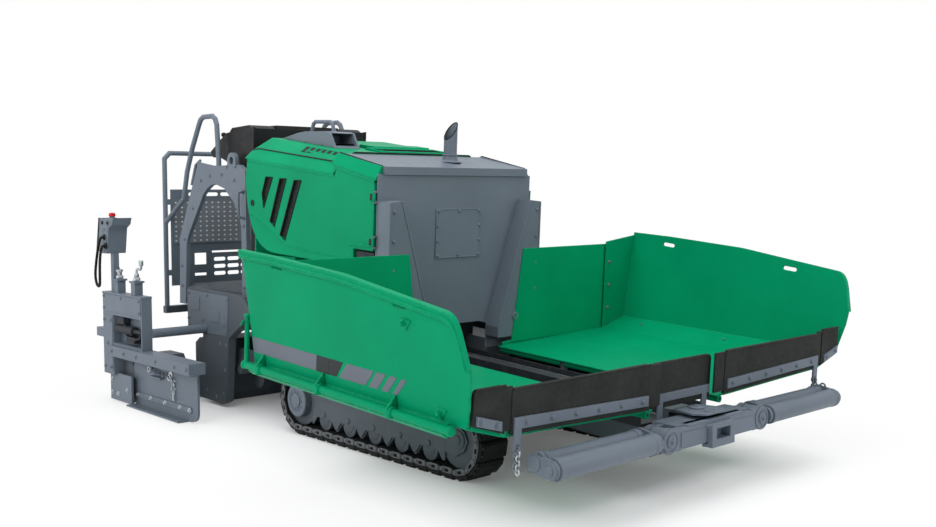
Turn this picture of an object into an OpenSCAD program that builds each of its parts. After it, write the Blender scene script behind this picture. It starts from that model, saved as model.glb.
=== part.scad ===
// Compact asphalt paver on tracks, with a folding hopper, push rollers and an extending screed.
// Frame: +X forward, +Y to the machine's left, +Z up, ground at Z = 0, millimetres.
// Tractor modules are drawn level and then pitched nose-down by body_pitch.

/* [Tractor body] */
// Nose-down pitch of the tractor body over its tracks, degrees
body_pitch = 2.93; // [0:0.01:4]
// Half width of the hood over the closed side doors
hood_half_w = 600; // [560:5:640]
// Height of the hood's front edge, level frame
hood_front_z = 1580; // [1520:5:1640]
// Height of the hood's rear top, level frame
hood_rear_z = 1720; // [1660:5:1780]
// X of the grey hood front plate
hood_front_x = 295; // [280:1:310]
// X of the hood's rear end
hood_rear_x = -1050; // [-1100:5:-1000]
// Half width of the frame between the tracks
frame_half_w = 480; // [420:5:500]

/* [Hopper] */
// Rear end of the folding wings
wing_rear_x = 415; // [410:1:440]
// Front end of the wing floor
wing_front_x = 1950; // [1900:5:1980]
// Distance of the wing hinge from the centre plane
hinge_y = 288; // [280:1:310]
// Height of the wing hinge, level frame
hinge_z = 506; // [500:1:515]
// Radius of the wing's hinge tube
hinge_tube_r = 18; // [16:0.5:20]
// Radius of the wing's hinge pin
hinge_pin_r = 9; // [7:0.5:10]
// Thickness of the hopper's sheet steel
sheet = 8; // [6:0.5:10]
// Half width of the hopper at the foot of its side walls
wing_foot_y = 1410; // [1380:5:1440]
// Outward lean of the side wall, degrees
wall_lean = 8.5; // [6:0.1:10]
// Height of the side wall at its rear end, along the wall
wall_h = 566; // [540:1:590]
// Height of the rubber front flaps at their inner edge
flap_h = 217; // [200:1:230]

/* [Tracks] */
// Gap between the frame and the tracks
track_gap = 40; // [30:1:60]
// Width of a track shoe
shoe_w = 180; // [160:5:190]
// Height of a track from ground to top
track_h = 410; // [390:2:416]
// Distance from sprocket to idler
track_base = 1370; // [1340:5:1390]
// X of the rear sprocket
sprocket_x = -260; // [-280:5:-240]
// Number of shoes in a track
shoes = 38; // [36:1:40]

/* [Push bar] */
// Distance of the push rollers' axis in front of the wing floor
push_gap = 187; // [180:1:195]
// Height of the push rollers' axis
roller_z = 330; // [320:1:335]
// Radius of a push roller
roller_r = 46; // [40:1:48]
// Length of a push roller
roller_len = 640; // [600:5:650]
// Distance of the arm pivots from the centre plane
arm_pivot_y = 365; // [360:1:370]

/* [Screed] */
// Outer face of the end gates, screed extended
gate_outer_y = 1080; // [1060:5:1100]
// Distance of the main screed's ends from the frame's sides
arm_clear = 65; // [55:1:70]
// Height of the side tower
tower_h = 745; // [700:5:760]
// X of the rear face of the side tower
tower_rear_x = -2060; // [-2080:5:-2040]
// X of the front face of the side tower
tower_front_x = -1480; // [-1490:5:-1470]
// X of the tow point, where the arms pivot
tow_x = 180; // [150:5:200]
// Height of the tow point
tow_z = 530; // [520:1:545]
// Radius of the augers
auger_r = 140; // [120:1:145]

/* [Platform] */
// Height of the operator's floor
floor_z = 760; // [740:5:780]
// X of the rear handrail
rail_x = -2150; // [-2170:5:-2120]
// How far the platform's arches stand out from the frame's sides
platform_lap = 50; // [40:1:55]
// Height of the rear handrail
rail_top_z = 1700; // [1650:5:1750]
// Diameter of the handrail tube
rail_d = 34; // [28:1:38]

/* [Hidden] */

$fn = 40;
eps = 0.5;
pin_gap = 0.3;
track_outer_y = frame_half_w + track_gap + shoe_w;
roller_x = wing_front_x + push_gap;
screed_half_w = frame_half_w + arm_clear;
platform_half_w = frame_half_w + platform_lap;
body_green = [0.0, 0.47, 0.31];
steel_grey = [0.36, 0.39, 0.43];
dark_grey = [0.22, 0.24, 0.26];
rubber = [0.12, 0.12, 0.12];
black = [0.06, 0.06, 0.06];

// Helpers

// Tilts level tractor geometry nose-down about the ground origin
module pitched() { rotate([0, body_pitch, 0]) children(); }

// Mirrors left-hand geometry to the right where asked
module sided(left) { mirror([0, left ? 0 : 1, 0]) children(); }

// Both hands of a piece
module both() { for (left = [true, false]) sided(left) children(); }

// Sweeps a (y, z) outline along X
module along_x(x0, x1) { translate([x0, 0, 0]) rotate([90, 0, 90]) linear_extrude(x1 - x0) children(); }

// Sweeps an (x, z) outline along Y
module along_y(y0, y1) { translate([0, y1, 0]) rotate([90, 0, 0]) linear_extrude(y1 - y0) children(); }

// Box between two corners
module box(a, b) { translate(a) cube([b.x - a.x, b.y - a.y, b.z - a.z]); }

// Rod along X, Y or Z
module rod_x(p, r, len) { translate(p) rotate([0, 90, 0]) cylinder(r = r, h = len); }
module rod_y(p, r, len) { translate(p) rotate([-90, 0, 0]) cylinder(r = r, h = len); }
module rod_z(p, r, len) { translate(p) cylinder(r = r, h = len); }

// Rod between two points
module strut(a, b, r) {
    d = b - a;
    len = norm(d);
    translate(a) rotate([0, acos(d.z / len), atan2(d.y, d.x)]) cylinder(r = r, h = len);
}

// Tube route with ball corners
module bent_rod(pts, r) {
    for (i = [0 : len(pts) - 2]) strut(pts[i], pts[i + 1], r);
    for (i = [1 : len(pts) - 2]) translate(pts[i]) sphere(r = 1.03 * r);
}

// Oblong outline centred on the origin, its long way along x
module oblong(len, wid) {
    square([len - wid, wid], center = true);
    for (s = [-1, 1]) translate([s * (len - wid) / 2, 0]) circle(d = wid);
}

// Points of a quadratic curve
function curve(a, b, c, n) =
    [for (i = [0 : n]) let (t = i / n) (1 - t) * (1 - t) * a + 2 * t * (1 - t) * b + t * t * c];

// Hopper

deck_z = 440;
deck_t = 12;
deck_half_w = 245;
floor_edge_y = 255;
tube_sink = 3;
floor_edge_z = hinge_z + hinge_tube_r + sheet - tube_sink;
lug_r = hinge_tube_r - 5;
floor_step = [1216, floor_edge_z + 31];
wall_foot = [wing_foot_y, floor_step.y + 58];
weld = [sheet / 2, 2];
hinge_lug_w = 30;
hinge_lug_xs = [900, 1500];
hinge_lug_gap = 4;
hinge_runs = [[wing_rear_x + 5, hinge_lug_xs[0] - hinge_lug_gap],
    [hinge_lug_xs[0] + hinge_lug_w + hinge_lug_gap, hinge_lug_xs[1] - hinge_lug_gap],
    [hinge_lug_xs[1] + hinge_lug_w + hinge_lug_gap, wing_front_x]];
rim_h = 40;
rim_t = 20;
rim_slot_len = 90;
rim_slot_w = 22;
wall_slope_h = wall_h - 101;
wall_bend_h = 244;
wall_front_x = wing_front_x + 46;
corner_y = 1200;
edge_tube_r = 18;
edge_tube_xs = [wing_rear_x - 45, wing_front_x - 50];
edge_ear_xs = [505, 1000, 1515];
channel_end_x = wing_front_x - 100;

// Outline of a side wall: x along the machine, y up the wall
function wall_outline() = concat(
    [[wing_rear_x, 0], [wing_rear_x, wall_h], [wing_rear_x + 300, wall_h - 5],
        [wing_front_x - 703, wall_h - 28], [wing_front_x - 337, wall_h - 70]],
    curve([wing_front_x - 62, wall_slope_h], [wing_front_x - 8, wall_slope_h - 6],
        [wing_front_x + 12, wall_slope_h - 88], 6),
    [[wall_front_x, wall_bend_h], [wing_front_x + 38, wall_bend_h - 79], [wing_front_x - 2, 0]]);

// Leaning plane of the side wall, with z across the sheet outwards
module on_wall() {
    translate([0, wall_foot.x, wall_foot.y]) rotate([-wall_lean, 0, 0])
        rotate([90, 0, 0]) mirror([0, 0, 1]) children();
}

module side_wall() {
    difference() {
        union() {
            on_wall() linear_extrude(sheet) polygon(wall_outline());
            on_wall() linear_extrude(sheet + rim_t) difference() {
                polygon(wall_outline());
                translate([0, -rim_h]) polygon(wall_outline());
                translate([wing_rear_x - eps, -eps]) square([wall_front_x, wall_bend_h]);
            }
        }
        for (p = [[710, wall_h - 60], [1595, wall_h - 122]])
            on_wall() translate([p.x, p.y, -eps]) rotate(-4)
                linear_extrude(sheet + rim_t + 2 * eps) oblong(rim_slot_len, rim_slot_w);
    }
}

module edge_tube() {
    tube_y = wall_foot.x + sheet + edge_tube_r + 14;
    tube_z = wall_foot.y - 15;
    rod_x([edge_tube_xs[0], tube_y, tube_z], edge_tube_r, edge_tube_xs[1] - edge_tube_xs[0]);
    for (x = edge_ear_xs) along_x(x, x + 14)
        polygon([[wall_foot.x, tube_z - 35], [tube_y + 22, tube_z - 25], [tube_y + 26, tube_z + 15],
            [wall_foot.x + 20, tube_z + 70]]);
    // latch rod at the rear
    rod_z([edge_tube_xs[0] + 21, tube_y, tube_z], 12, 250);
    // channel under the tube
    along_x(wing_rear_x, channel_end_x)
        polygon([[wall_foot.x - 25, wall_foot.y - 12], [wall_foot.x + 12, wall_foot.y + 2],
            [wall_foot.x + 46, wall_foot.y - 38], [wall_foot.x + 20, wall_foot.y - 58]]);
}

module wing(left) {
    color(body_green) sided(left) pitched() difference() {
        union() {
            along_x(wing_rear_x + 1, wing_front_x) polygon([[floor_edge_y, floor_edge_z],
                floor_step, wall_foot + weld, wall_foot + weld - [0, sheet], floor_step - [0, sheet],
                [floor_edge_y, floor_edge_z - sheet]]);
            side_wall();
            edge_tube();
            for (run = hinge_runs)
                rod_x([run[0], hinge_y, hinge_z], hinge_tube_r, run[1] - run[0]);
            // rear corner piece
            along_x(wing_rear_x + 2, wing_rear_x + 2 + sheet) polygon([[corner_y, floor_step.y - sheet],
                wall_foot + weld, wall_foot + weld + (wall_h - 20) * [sin(wall_lean), cos(wall_lean)],
                [corner_y, wall_foot.y + wall_h - 60]]);
            // front flange that carries the flap
            along_x(wing_front_x - sheet, wing_front_x) polygon([[floor_edge_y + 60, floor_edge_z - sheet],
                floor_step - [20, sheet], floor_step + [-20, 62], [floor_edge_y + 60, floor_edge_z + 62]]);
            along_x(wing_front_x - sheet, wing_front_x) polygon([floor_step + [20, 0],
                wall_foot - [10, sheet], wall_foot + [-10, 62], floor_step + [20, 66]]);
        }
        rod_x([wing_rear_x - eps, hinge_y, hinge_z], hinge_pin_r + pin_gap,
            wing_front_x - wing_rear_x + 2 * eps);
    }
}

// Rubber flaps in front of the wing floor
flap_t = 16;
flap_inner_y = 297;
flap_outer_y = 1191;
flap_top_z = floor_edge_z + 6 + flap_h;
strip_t = 9;

module flap_outline(y0, z0, y1, z1, z_top) {
    r = 28;
    polygon(concat([[y0, z0], [y1, z1]],
        curve([y1, z_top - r], [y1, z_top], [y1 - r, z_top], 5),
        curve([y0 + r, z_top], [y0, z_top], [y0, z_top - r], 5)));
}

module wing_flap(left) {
    color(rubber) sided(left) pitched() along_x(wing_front_x, wing_front_x + flap_t) {
        flap_outline(flap_inner_y, floor_edge_z + 6, flap_outer_y, floor_step.y + 4, flap_top_z);
        flap_outline(floor_step.x + 12, floor_step.y + 12, wall_foot.x - 8, wall_foot.y + 8, flap_top_z + 20);
    }
}

bracket_y = flap_outer_y - 31;
bracket_drop = 60;
bracket_hole_r = 8;
chain_wire_r = 4.5;
chain_link_r = 14;
chain_links = 5;
chain_gap = 0.3;

// One chain link lying in the plane that holds Z
module chain_link() {
    rotate([90, 0, 0]) rotate_extrude($fn = 20)
        translate([chain_link_r, 0]) circle(r = chain_wire_r, $fn = 16);
}

module apron_strip(left) {
    strip_x = wing_front_x + flap_t;
    strip_z = floor_edge_z + 30;
    bracket_z = strip_z - bracket_drop;
    color(steel_grey) sided(left) pitched() {
        difference() {
            along_x(strip_x, strip_x + strip_t) {
                polygon([[flap_inner_y + 20, strip_z], [flap_outer_y - 10, strip_z + 26],
                    [flap_outer_y - 10, strip_z + 74], [flap_inner_y + 20, strip_z + 48]]);
                translate([bracket_y - 20, bracket_z]) square([40, bracket_drop + 70]);
            }
            rod_x([strip_x - eps, bracket_y, bracket_z + chain_link_r], bracket_hole_r, strip_t + 2 * eps);
        }
        along_x(strip_x, strip_x + strip_t) polygon([[floor_step.x + 35, wall_foot.y - 30],
            [wall_foot.x - 22, wall_foot.y + 10], [wall_foot.x - 22, wall_foot.y + 50],
            [floor_step.x + 35, wall_foot.y + 10]]);
        // hanging chain, each link a quarter turn on from the last
        for (i = [0 : chain_links - 1])
            translate([strip_x + strip_t / 2, bracket_y,
                    bracket_z - i * (2 * (chain_link_r - chain_wire_r) - chain_gap)])
                rotate([0, 0, i % 2 * 90]) chain_link();
    }
}

// Fixed rear walls of the hopper, left and right of the hood
module hopper_rear_walls() {
    color(body_green) both() pitched() along_x(gusset_x, gusset_x + sheet)
        polygon([[375, 540], [corner_y + 30, 548], [corner_y + 44, 1108], [447, 1106]]);
}

apron_x = wing_front_x - 39;
apron_half_w = floor_edge_y - 27;
module centre_apron() {
    color(rubber) pitched() along_x(apron_x, apron_x + flap_t) flap_outline(-apron_half_w, floor_edge_z - 10,
        apron_half_w, floor_edge_z - 10, flap_top_z - 15);
}

module centre_strip() {
    x0 = apron_x + flap_t;
    half = apron_half_w - 13;
    color(steel_grey) pitched() {
        along_x(x0, x0 + strip_t) translate([-half, floor_edge_z + 19]) square([2 * half, 40]);
        both() box([x0, half - 60, deck_z - deck_t], [x0 + strip_t, half - 20, floor_edge_z + 20]);
    }
}

// Frame, conveyor and drive

plate_t = 10;
lid_t = 40;
gusset_d = 105;
frame_rear_x = -1060;
frame_z0 = 250;
bay_z = 560;
frame_front_x = hood_front_x - plate_t;
cross_x = 780;
cross_w = 100;

module main_frame() {
    color(dark_grey) {
        pitched() {
            // rear body under the hood
            box([frame_rear_x, -frame_half_w, frame_z0], [frame_front_x, frame_half_w, deck_z - deck_t]);
            // engine bay floor beside the conveyor tunnel
            both() box([frame_rear_x, deck_half_w + 15, deck_z - deck_t],
                [frame_front_x, frame_half_w, bay_z]);
            // rails and front cross member under the hopper
            both() box([frame_front_x, deck_half_w - 75, deck_z - 110],
                [wing_front_x - 30, deck_half_w - 5, deck_z - deck_t]);
            box([wing_front_x - 130, -deck_half_w + 5, 300],
                [wing_front_x - 10, deck_half_w - 5, deck_z - deck_t]);
            // wing hinges
            both() for (x = hinge_lug_xs) {
                rod_x([x, hinge_y, hinge_z], lug_r, hinge_lug_w);
                box([x, deck_half_w - 40, deck_z - 60], [x + hinge_lug_w, hinge_y + lug_r, deck_z - deck_t]);
                box([x, hinge_y - lug_r, deck_z - 40], [x + hinge_lug_w, hinge_y + lug_r, hinge_z]);
            }
            both() rod_x([wing_rear_x + 2, hinge_y, hinge_z], hinge_pin_r, wing_front_x - wing_rear_x - 10);
        }
        // cross beam that carries the front of the tracks
        box([cross_x - cross_w / 2, -frame_half_w, track_r + 10],
            [cross_x + cross_w / 2, frame_half_w, track_r + 125]);
        // fork of the push bar and its pin
        for (z = [fork_z0, fork_z1]) {
            box([fork_x, -fork_w / 2, z], [beam_pin_x, fork_w / 2, z + fork_t]);
            rod_z([beam_pin_x, 0, z], fork_w / 2, fork_t);
        }
        box([fork_x, -fork_w / 2, fork_z0], [fork_x + 30, fork_w / 2, fork_z1 + fork_t]);
        rod_z([beam_pin_x, 0, fork_z0], beam_pin_r, fork_z1 - fork_z0 + fork_t + 8);
        // tow pins of the screed arms
        both() rod_y([tow_x, frame_half_w - 10, tow_z], tow_pin_r, arm_out_y - frame_half_w + 16);
    }
}

engine_size = [700, 600, 560];
engine_x = -560;
module engine() {
    color(steel_grey) pitched()
        box([engine_x, -engine_size.y / 2, bay_z],
            [engine_x + engine_size.x, engine_size.y / 2, bay_z + engine_size.z]);
}

module conveyor_deck() {
    color(dark_grey) pitched() {
        box([frame_rear_x, -deck_half_w, deck_z - deck_t], [wing_front_x - 75, deck_half_w, deck_z]);
        both() box([frame_rear_x, deck_half_w - 10, deck_z], [wing_front_x - 75, deck_half_w, deck_z + 44]);
        along_y(-32, 32) polygon([[-900, deck_z], [wing_front_x - 100, deck_z],
            [wing_front_x - 170, deck_z + 64], [-900, deck_z + 64]]);
    }
}

bar_pitch = 150;
module conveyor_chains() {
    color(black) pitched() both() {
        box([-1000, 45, deck_z], [wing_front_x - 120, 62, deck_z + 16]);
        box([-1000, 212, deck_z], [wing_front_x - 120, 229, deck_z + 16]);
        for (x = [-960 : bar_pitch : wing_front_x - 160])
            box([x, 62, deck_z], [x + 26, 212, deck_z + 14]);
    }
}

// Tracks

track_r = track_h / 2;
pad_h = 30;
belt_h = 28;
pitch_r = track_r - pad_h;
belt_r = pitch_r - belt_h;
loop_len = 2 * track_base + 2 * PI * pitch_r;
shoe_pitch = loop_len / shoes;
half_turn = PI * pitch_r;
arc_relief = 3.5;

// Stadium outline round sprocket and idler
module stadium(r) {
    for (x = [sprocket_x, sprocket_x + track_base]) translate([x, track_r]) circle(r = r, $fn = 64);
    translate([sprocket_x, track_r - r]) square([track_base, 2 * r]);
}

// True on the straight runs, where a shoe lies flat
function on_run(s) = s < track_base || (s > track_base + half_turn && s < 2 * track_base + half_turn);

// Places children at distance s along the loop, y outwards
module at_loop(s) {
    if (s < track_base) translate([sprocket_x + s, track_r - pitch_r]) rotate(180) children();
    else if (s < track_base + half_turn)
        translate([sprocket_x + track_base, track_r]) rotate(180 + (s - track_base) / pitch_r * 180 / PI)
            translate([0, pitch_r]) children();
    else if (s < 2 * track_base + half_turn)
        translate([sprocket_x + track_base - (s - track_base - half_turn), track_r + pitch_r]) children();
    else translate([sprocket_x, track_r]) rotate((s - 2 * track_base - half_turn) / pitch_r * 180 / PI)
        translate([0, pitch_r]) children();
}

module shoe(h) {
    w = shoe_pitch * 0.92;
    polygon([[-w / 2, -2], [w / 2, -2], [w / 2, h * 0.45], [w / 2 - 12, h], [-w / 2 + 12, h],
        [-w / 2, h * 0.45]]);
}

module track_outline(h) {
    difference() {
        union() {
            stadium(pitch_r);
            for (i = [0 : shoes - 1]) let (s = i * shoe_pitch)
                at_loop(s) shoe(on_run(s) ? h : h - arc_relief);
        }
        stadium(belt_r);
    }
}

shoe_bevel = 14;
module track(left) {
    inner = track_outer_y - shoe_w;
    color(rubber) sided(left) {
        along_y(inner + shoe_bevel, track_outer_y - shoe_bevel) track_outline(pad_h);
        along_y(inner, inner + shoe_bevel) track_outline(pad_h - 12);
        along_y(track_outer_y - shoe_bevel, track_outer_y) track_outline(pad_h - 12);
    }
}

lower_rollers = 5;
frame_gap = 0.3;
module track_frames() {
    mid = track_outer_y - shoe_w / 2;
    idler_x = sprocket_x + track_base;
    r_run = belt_r - frame_gap;
    color(steel_grey) both() {
        // side frame
        along_y(mid - 42, mid + 42) polygon([[sprocket_x + 60, track_r - 35], [idler_x - 60, track_r - 35],
            [idler_x - 60, track_r + 45], [sprocket_x + 330, track_r + 70], [sprocket_x + 60, track_r + 70]]);
        // drive drum and sprocket
        rod_y([sprocket_x, mid - 60, track_r], r_run, 120);
        rod_y([sprocket_x, mid + 59, track_r], 96, 42);
        rod_y([idler_x, mid - 55, track_r], r_run, 110);
        for (i = [0 : lower_rollers - 1])
            rod_y([sprocket_x + 225 + i * (track_base - 450) / (lower_rollers - 1), mid - 55,
                track_r - r_run + 58], 58, 110);
        for (x = [sprocket_x + 480, sprocket_x + 960])
            rod_y([x, mid - 45, track_r + r_run - 34], 34, 90);
        for (x = [sprocket_x + 480, sprocket_x + 960])
            along_y(mid - 20, mid + 20) translate([x - 20, track_r]) square([40, r_run - 40]);
        // axles to the main frame
        for (x = [sprocket_x + 260, cross_x])
            rod_y([x, frame_half_w, track_r + 60], 45, mid - frame_half_w);
    }
}

// Hood

plate_half_w = hood_half_w - 10;
plate_top = hood_front_z - lid_t;
gusset_x = hood_front_x + gusset_d;
module hood_front() {
    color(steel_grey) pitched() {
        along_x(hood_front_x - plate_t, hood_front_x) polygon([[-plate_half_w, plate_top],
            [plate_half_w, plate_top], [plate_half_w, 640], [frame_half_w, 500], [deck_half_w + 20, 500],
            [deck_half_w + 20, 650], [200, 668], [-200, 668], [-deck_half_w - 20, 650],
            [-deck_half_w - 20, 500], [-frame_half_w, 500], [-plate_half_w, 640]]);
        both() along_x(hood_front_x, gusset_x)
            polygon([[497, 1398], [588, 1390], [588, 640], [440, 575], [265, 575], [257, 640]]);
        // access cover
        along_x(hood_front_x, hood_front_x + 6) translate([6, 1204]) square([350, 288], center = true);
        // hinge lugs and pins of the doors
        both() for (z = door_hinge_zs) {
            for (s = [z - 13, z + knuckle_len + 1]) {
                box([hinge_x, plate_half_w - 10, s], [hood_front_x, hinge_line_y, s + 12]);
                rod_z([hinge_x, hinge_line_y, s], door_pin_r + 2, 12);
            }
            rod_z([hinge_x, hinge_line_y, z - 13], door_pin_r, knuckle_len + 26);
        }
    }
}

lid_rear_x = -110;
lid_rear_z = hood_front_z + 62;
pipe_x = 100;
pipe_y = 100;
pipe_r = 40;
module hood_lid() {
    color(steel_grey) pitched() difference() {
        along_y(-lid_half_w, lid_half_w) polygon([[hood_front_x + 12, hood_front_z - lid_t],
            [hood_front_x + 12, hood_front_z], [lid_rear_x, lid_rear_z], [lid_rear_x, lid_rear_z - lid_t],
            [hood_front_x - 40, hood_front_z - lid_t]]);
        rod_z([pipe_x, pipe_y, hood_front_z - 200], pipe_r + 8, 400);
    }
}

silencer_z = bay_z + engine_size.z + 90;
pipe_top = 1850;
mouth_slant = 54;
module exhaust() {
    color(steel_grey) pitched() difference() {
        union() {
            rod_z([pipe_x, pipe_y, silencer_z], pipe_r, pipe_top - silencer_z);
            rod_x([pipe_x - 380, pipe_y, silencer_z], 72, 520);
            for (x = [pipe_x - 340, pipe_x - 80])
                box([x, pipe_y - 40, bay_z + engine_size.z], [x + 60, pipe_y + 40, silencer_z]);
        }
        rod_z([pipe_x, pipe_y, silencer_z + 90], pipe_r - 4, 700);
        // slanted mouth that faces the machine's right
        translate([pipe_x, pipe_y + pipe_r, pipe_top]) rotate([mouth_slant, 0, 0])
            translate([-100, -300, 0]) cube([200, 300, 200]);
    }
}

band_rear_z = 1585;
band_crest_z = 1582;
band_front_z = 1523;
top_half_w = 450;
chamfer_w = 60;
// Cross-section of the hood's cover above the doors at one X
module hood_slice(x, z_top, z_band, rise, inset) {
    side = hood_half_w - inset;
    translate([x, 0, 0]) rotate([90, 0, 90]) linear_extrude(1)
        polygon([[-side, z_band], [side, z_band], [side - chamfer_w, z_band + rise - inset],
            [top_half_w, z_top - inset], [-top_half_w, z_top - inset],
            [chamfer_w - side, z_band + rise - inset]]);
}

module hood_form(inset) {
    hull() {
        hood_slice(hood_rear_x - 20 + inset, hood_rear_z - 52, band_rear_z, 55, inset);
        hood_slice(hood_rear_x + 60 + inset, hood_rear_z, band_crest_z, 66, inset);
        hood_slice(lid_rear_x - 4 - inset, lid_rear_z + 4, band_front_z, 66, inset);
    }
}

lid_half_w = 550;
// Cross-sections of the band beside the lid and of the rail under it
module band_slice(x, z_side, z_top) {
    along_x(x, x + 1) polygon([[lid_half_w + 4, z_side - 14], [hood_half_w, z_side - 14],
        [hood_half_w, z_side], [lid_half_w + 10, z_top], [lid_half_w + 4, z_top]]);
}
module rail_slice(x, z_side) {
    along_x(x, x + 1) translate([lid_half_w - 14, z_side - 64]) square([20, 56]);
}

module hood_top() {
    color(body_green) pitched() {
        difference() {
            hood_form(0);
            translate([0, 0, -eps]) hood_form(14);
        }
        // side bands beside the lid
        both() {
            hull() {
                band_slice(lid_rear_x - 14, lid_rear_z - 54, lid_rear_z + 5);
                band_slice(hood_front_x - plate_t - 1.3, hood_front_z - 63, hood_front_z + 3);
            }
            hull() {
                rail_slice(lid_rear_x - 14, lid_rear_z - 54);
                rail_slice(hood_front_x - plate_t - 1.3, hood_front_z - 63);
            }
        }
        // rear wall of the engine bay
        along_x(hood_rear_x + 20, hood_rear_x + 32) polygon([[-540, bay_z], [540, bay_z], [540, band_front_z],
            [top_half_w - 20, hood_rear_z - 32], [20 - top_half_w, hood_rear_z - 32], [-540, band_front_z]]);
    }
}

// Height of the hood's flat top at one X
hood_crest_x = hood_rear_x + 61;
scoop_seat = 0.2;
function hood_z(x) = hood_rear_z + scoop_seat
    + (x - hood_crest_x) / (lid_rear_x - 3 - hood_crest_x) * (lid_rear_z + 4 - hood_rear_z);

scoop_y = -300;
scoop_w = 190;
scoop_x0 = -960;
scoop_x1 = -385;
module intake_hump() {
    color(steel_grey) pitched() {
        difference() {
            along_y(scoop_y - scoop_w / 2, scoop_y + scoop_w / 2) polygon([[scoop_x0, hood_z(scoop_x0)],
                [scoop_x0 + 170, hood_rear_z + 34], [scoop_x0 + 260, hood_rear_z + 46],
                [scoop_x1 - 110, hood_rear_z + 50], [scoop_x1 - 60, hood_rear_z + 42],
                [scoop_x1, hood_z(scoop_x1)]]);
            along_y(scoop_y - scoop_w / 2 + 16, scoop_y + scoop_w / 2 - 16)
                polygon([[scoop_x1 - 190, hood_rear_z + 28], [scoop_x1 - 100, hood_rear_z + 38],
                    [scoop_x1 + 10, hood_rear_z + 38], [scoop_x1 + 10, hood_z(scoop_x1) + 12],
                    [scoop_x1 - 190, hood_z(scoop_x1 - 190) + 12]]);
        }
        // grab handle
        bent_rod([[scoop_x1 - 385, scoop_y, hood_rear_z + 30], [scoop_x1 - 367, scoop_y, hood_rear_z + 95],
            [scoop_x1 - 343, scoop_y, hood_rear_z + 109], [scoop_x1 - 185, scoop_y, hood_rear_z + 109],
            [scoop_x1 - 160, scoop_y, hood_rear_z + 95], [scoop_x1 - 142, scoop_y, hood_rear_z + 44]], 12);
    }
}

// Side doors, hinged at their front edge

door_t = 32;
door_front_x = hood_front_x - 20;
door_gap = 8;
knuckle_r = 9;
knuckle_len = 44;
door_pin_r = 4;
door_hinge_zs = [1145, 1392];
leaf_t = 7;
leaf_w = 34;
hinge_x = door_front_x + 6;
hinge_line_y = hood_half_w + 4;
door_low_z = 1015;
door_notch = [97, 1118];
function door_outline() = concat(
    [[door_front_x, hood_front_z - 77 - door_gap], [door_front_x, door_notch.y], door_notch,
        [door_notch.x, door_low_z], [-720, door_low_z]],
    curve([-720, door_low_z], [-960, door_low_z + 5], [-1030, 1300], 6),
    [[-1055, 1440], [-1040, band_rear_z - 13], [lid_rear_x + 8, band_front_z - 13],
        [lid_rear_x + 34, lid_rear_z - 80 - door_gap]]);

// Air slots, three slanted ones that grow towards the front
module door_slots() {
    polygon([[-817, 1476], [-741, 1479], [-837, 1286], [-856, 1376]]);
    polygon([[-659, 1474], [-590, 1477], [-714, 1177], [-762, 1206]]);
    polygon([[-503, 1470], [-430, 1474], [-595, 1103], [-647, 1131]]);
}

module door(left) {
    color(body_green) sided(left) pitched() difference() {
        union() {
            along_y(hood_half_w - door_t, hood_half_w) difference() {
                polygon(door_outline());
                door_slots();
            }
            for (z = door_hinge_zs) {
                rod_z([hinge_x, hinge_line_y, z], knuckle_r, knuckle_len);
                box([hinge_x - leaf_w, hood_half_w - 1, z], [hinge_x, hood_half_w + leaf_t, z + knuckle_len]);
            }
        }
        for (z = door_hinge_zs)
            rod_z([hinge_x, hinge_line_y, z - eps], door_pin_r + pin_gap, knuckle_len + 2 * eps);
    }
}

// Operator's platform

arch_t = 28;
side_plate_t = 12;
floor_rear_x = -2030;
rail_y = platform_half_w + 30;
foot_z = 600;
tread_t = 5;
tread_half_w = 465;
tread_rear_x = -2015;
tread_front_x = -1270;
module platform() {
    color(steel_grey) {
        box([floor_rear_x, arch_t - platform_half_w, floor_z - 20],
            [frame_rear_x, platform_half_w - arch_t, floor_z]);
        // rear beam that carries the rail's posts
        box([rail_x - 22, -rail_y - 20, foot_z - 50], [rail_x + 28, rail_y + 20, foot_z]);
        both() box([rail_x - 22, 300, foot_z - 50], [floor_rear_x + 30, 340, floor_z - 20]);
        // side plates bolted to the frame
        both() along_y(frame_half_w, frame_half_w + side_plate_t)
            polygon([[-1700, floor_z - 32], [-1440, floor_z - 32], [-1415, 640], [-1120, 640], [-1050, 420],
                [-850, 420], [-850, 595], [-1040, 595], [-1060, floor_z - 20], [-1700, floor_z - 20]]);
        // tread plate
        box([tread_rear_x, -tread_half_w, floor_z], [tread_front_x, tread_half_w, floor_z + tread_t]);
    }
}

arch_foot_z = floor_z - 130;
function arch_outer() = [[-1100, arch_foot_z], [-1100, 1560], [-1170, 1600], [-1530, 1600], [-1718, 1626],
    [-2001, 1090], [-2014, arch_foot_z]];
function arch_inner() = [[-1160, arch_foot_z - 1], [-1160, 1190], [-1180, 1272], [-1258, 1363], [-1371, 1447],
    [-1488, 1476], [-1550, 1468], [-1605, 1440], [-1655, 1404], [-1873, 1117], [-1900, 1060],
    [-1930, arch_foot_z - 1]];
eye_x = -1275;
eye_z = 1630;
eye_r = 52;
eye_hole_r = 25;

module arches() {
    color(steel_grey) both() along_y(platform_half_w - arch_t, platform_half_w) difference() {
        union() {
            polygon(arch_outer());
            translate([eye_x, eye_z]) circle(r = eye_r);
            translate([eye_x - eye_r, 1580]) square([2 * eye_r, eye_z - 1580]);
        }
        polygon(arch_inner());
        translate([eye_x, eye_z]) circle(r = eye_hole_r);
    }
}

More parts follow.
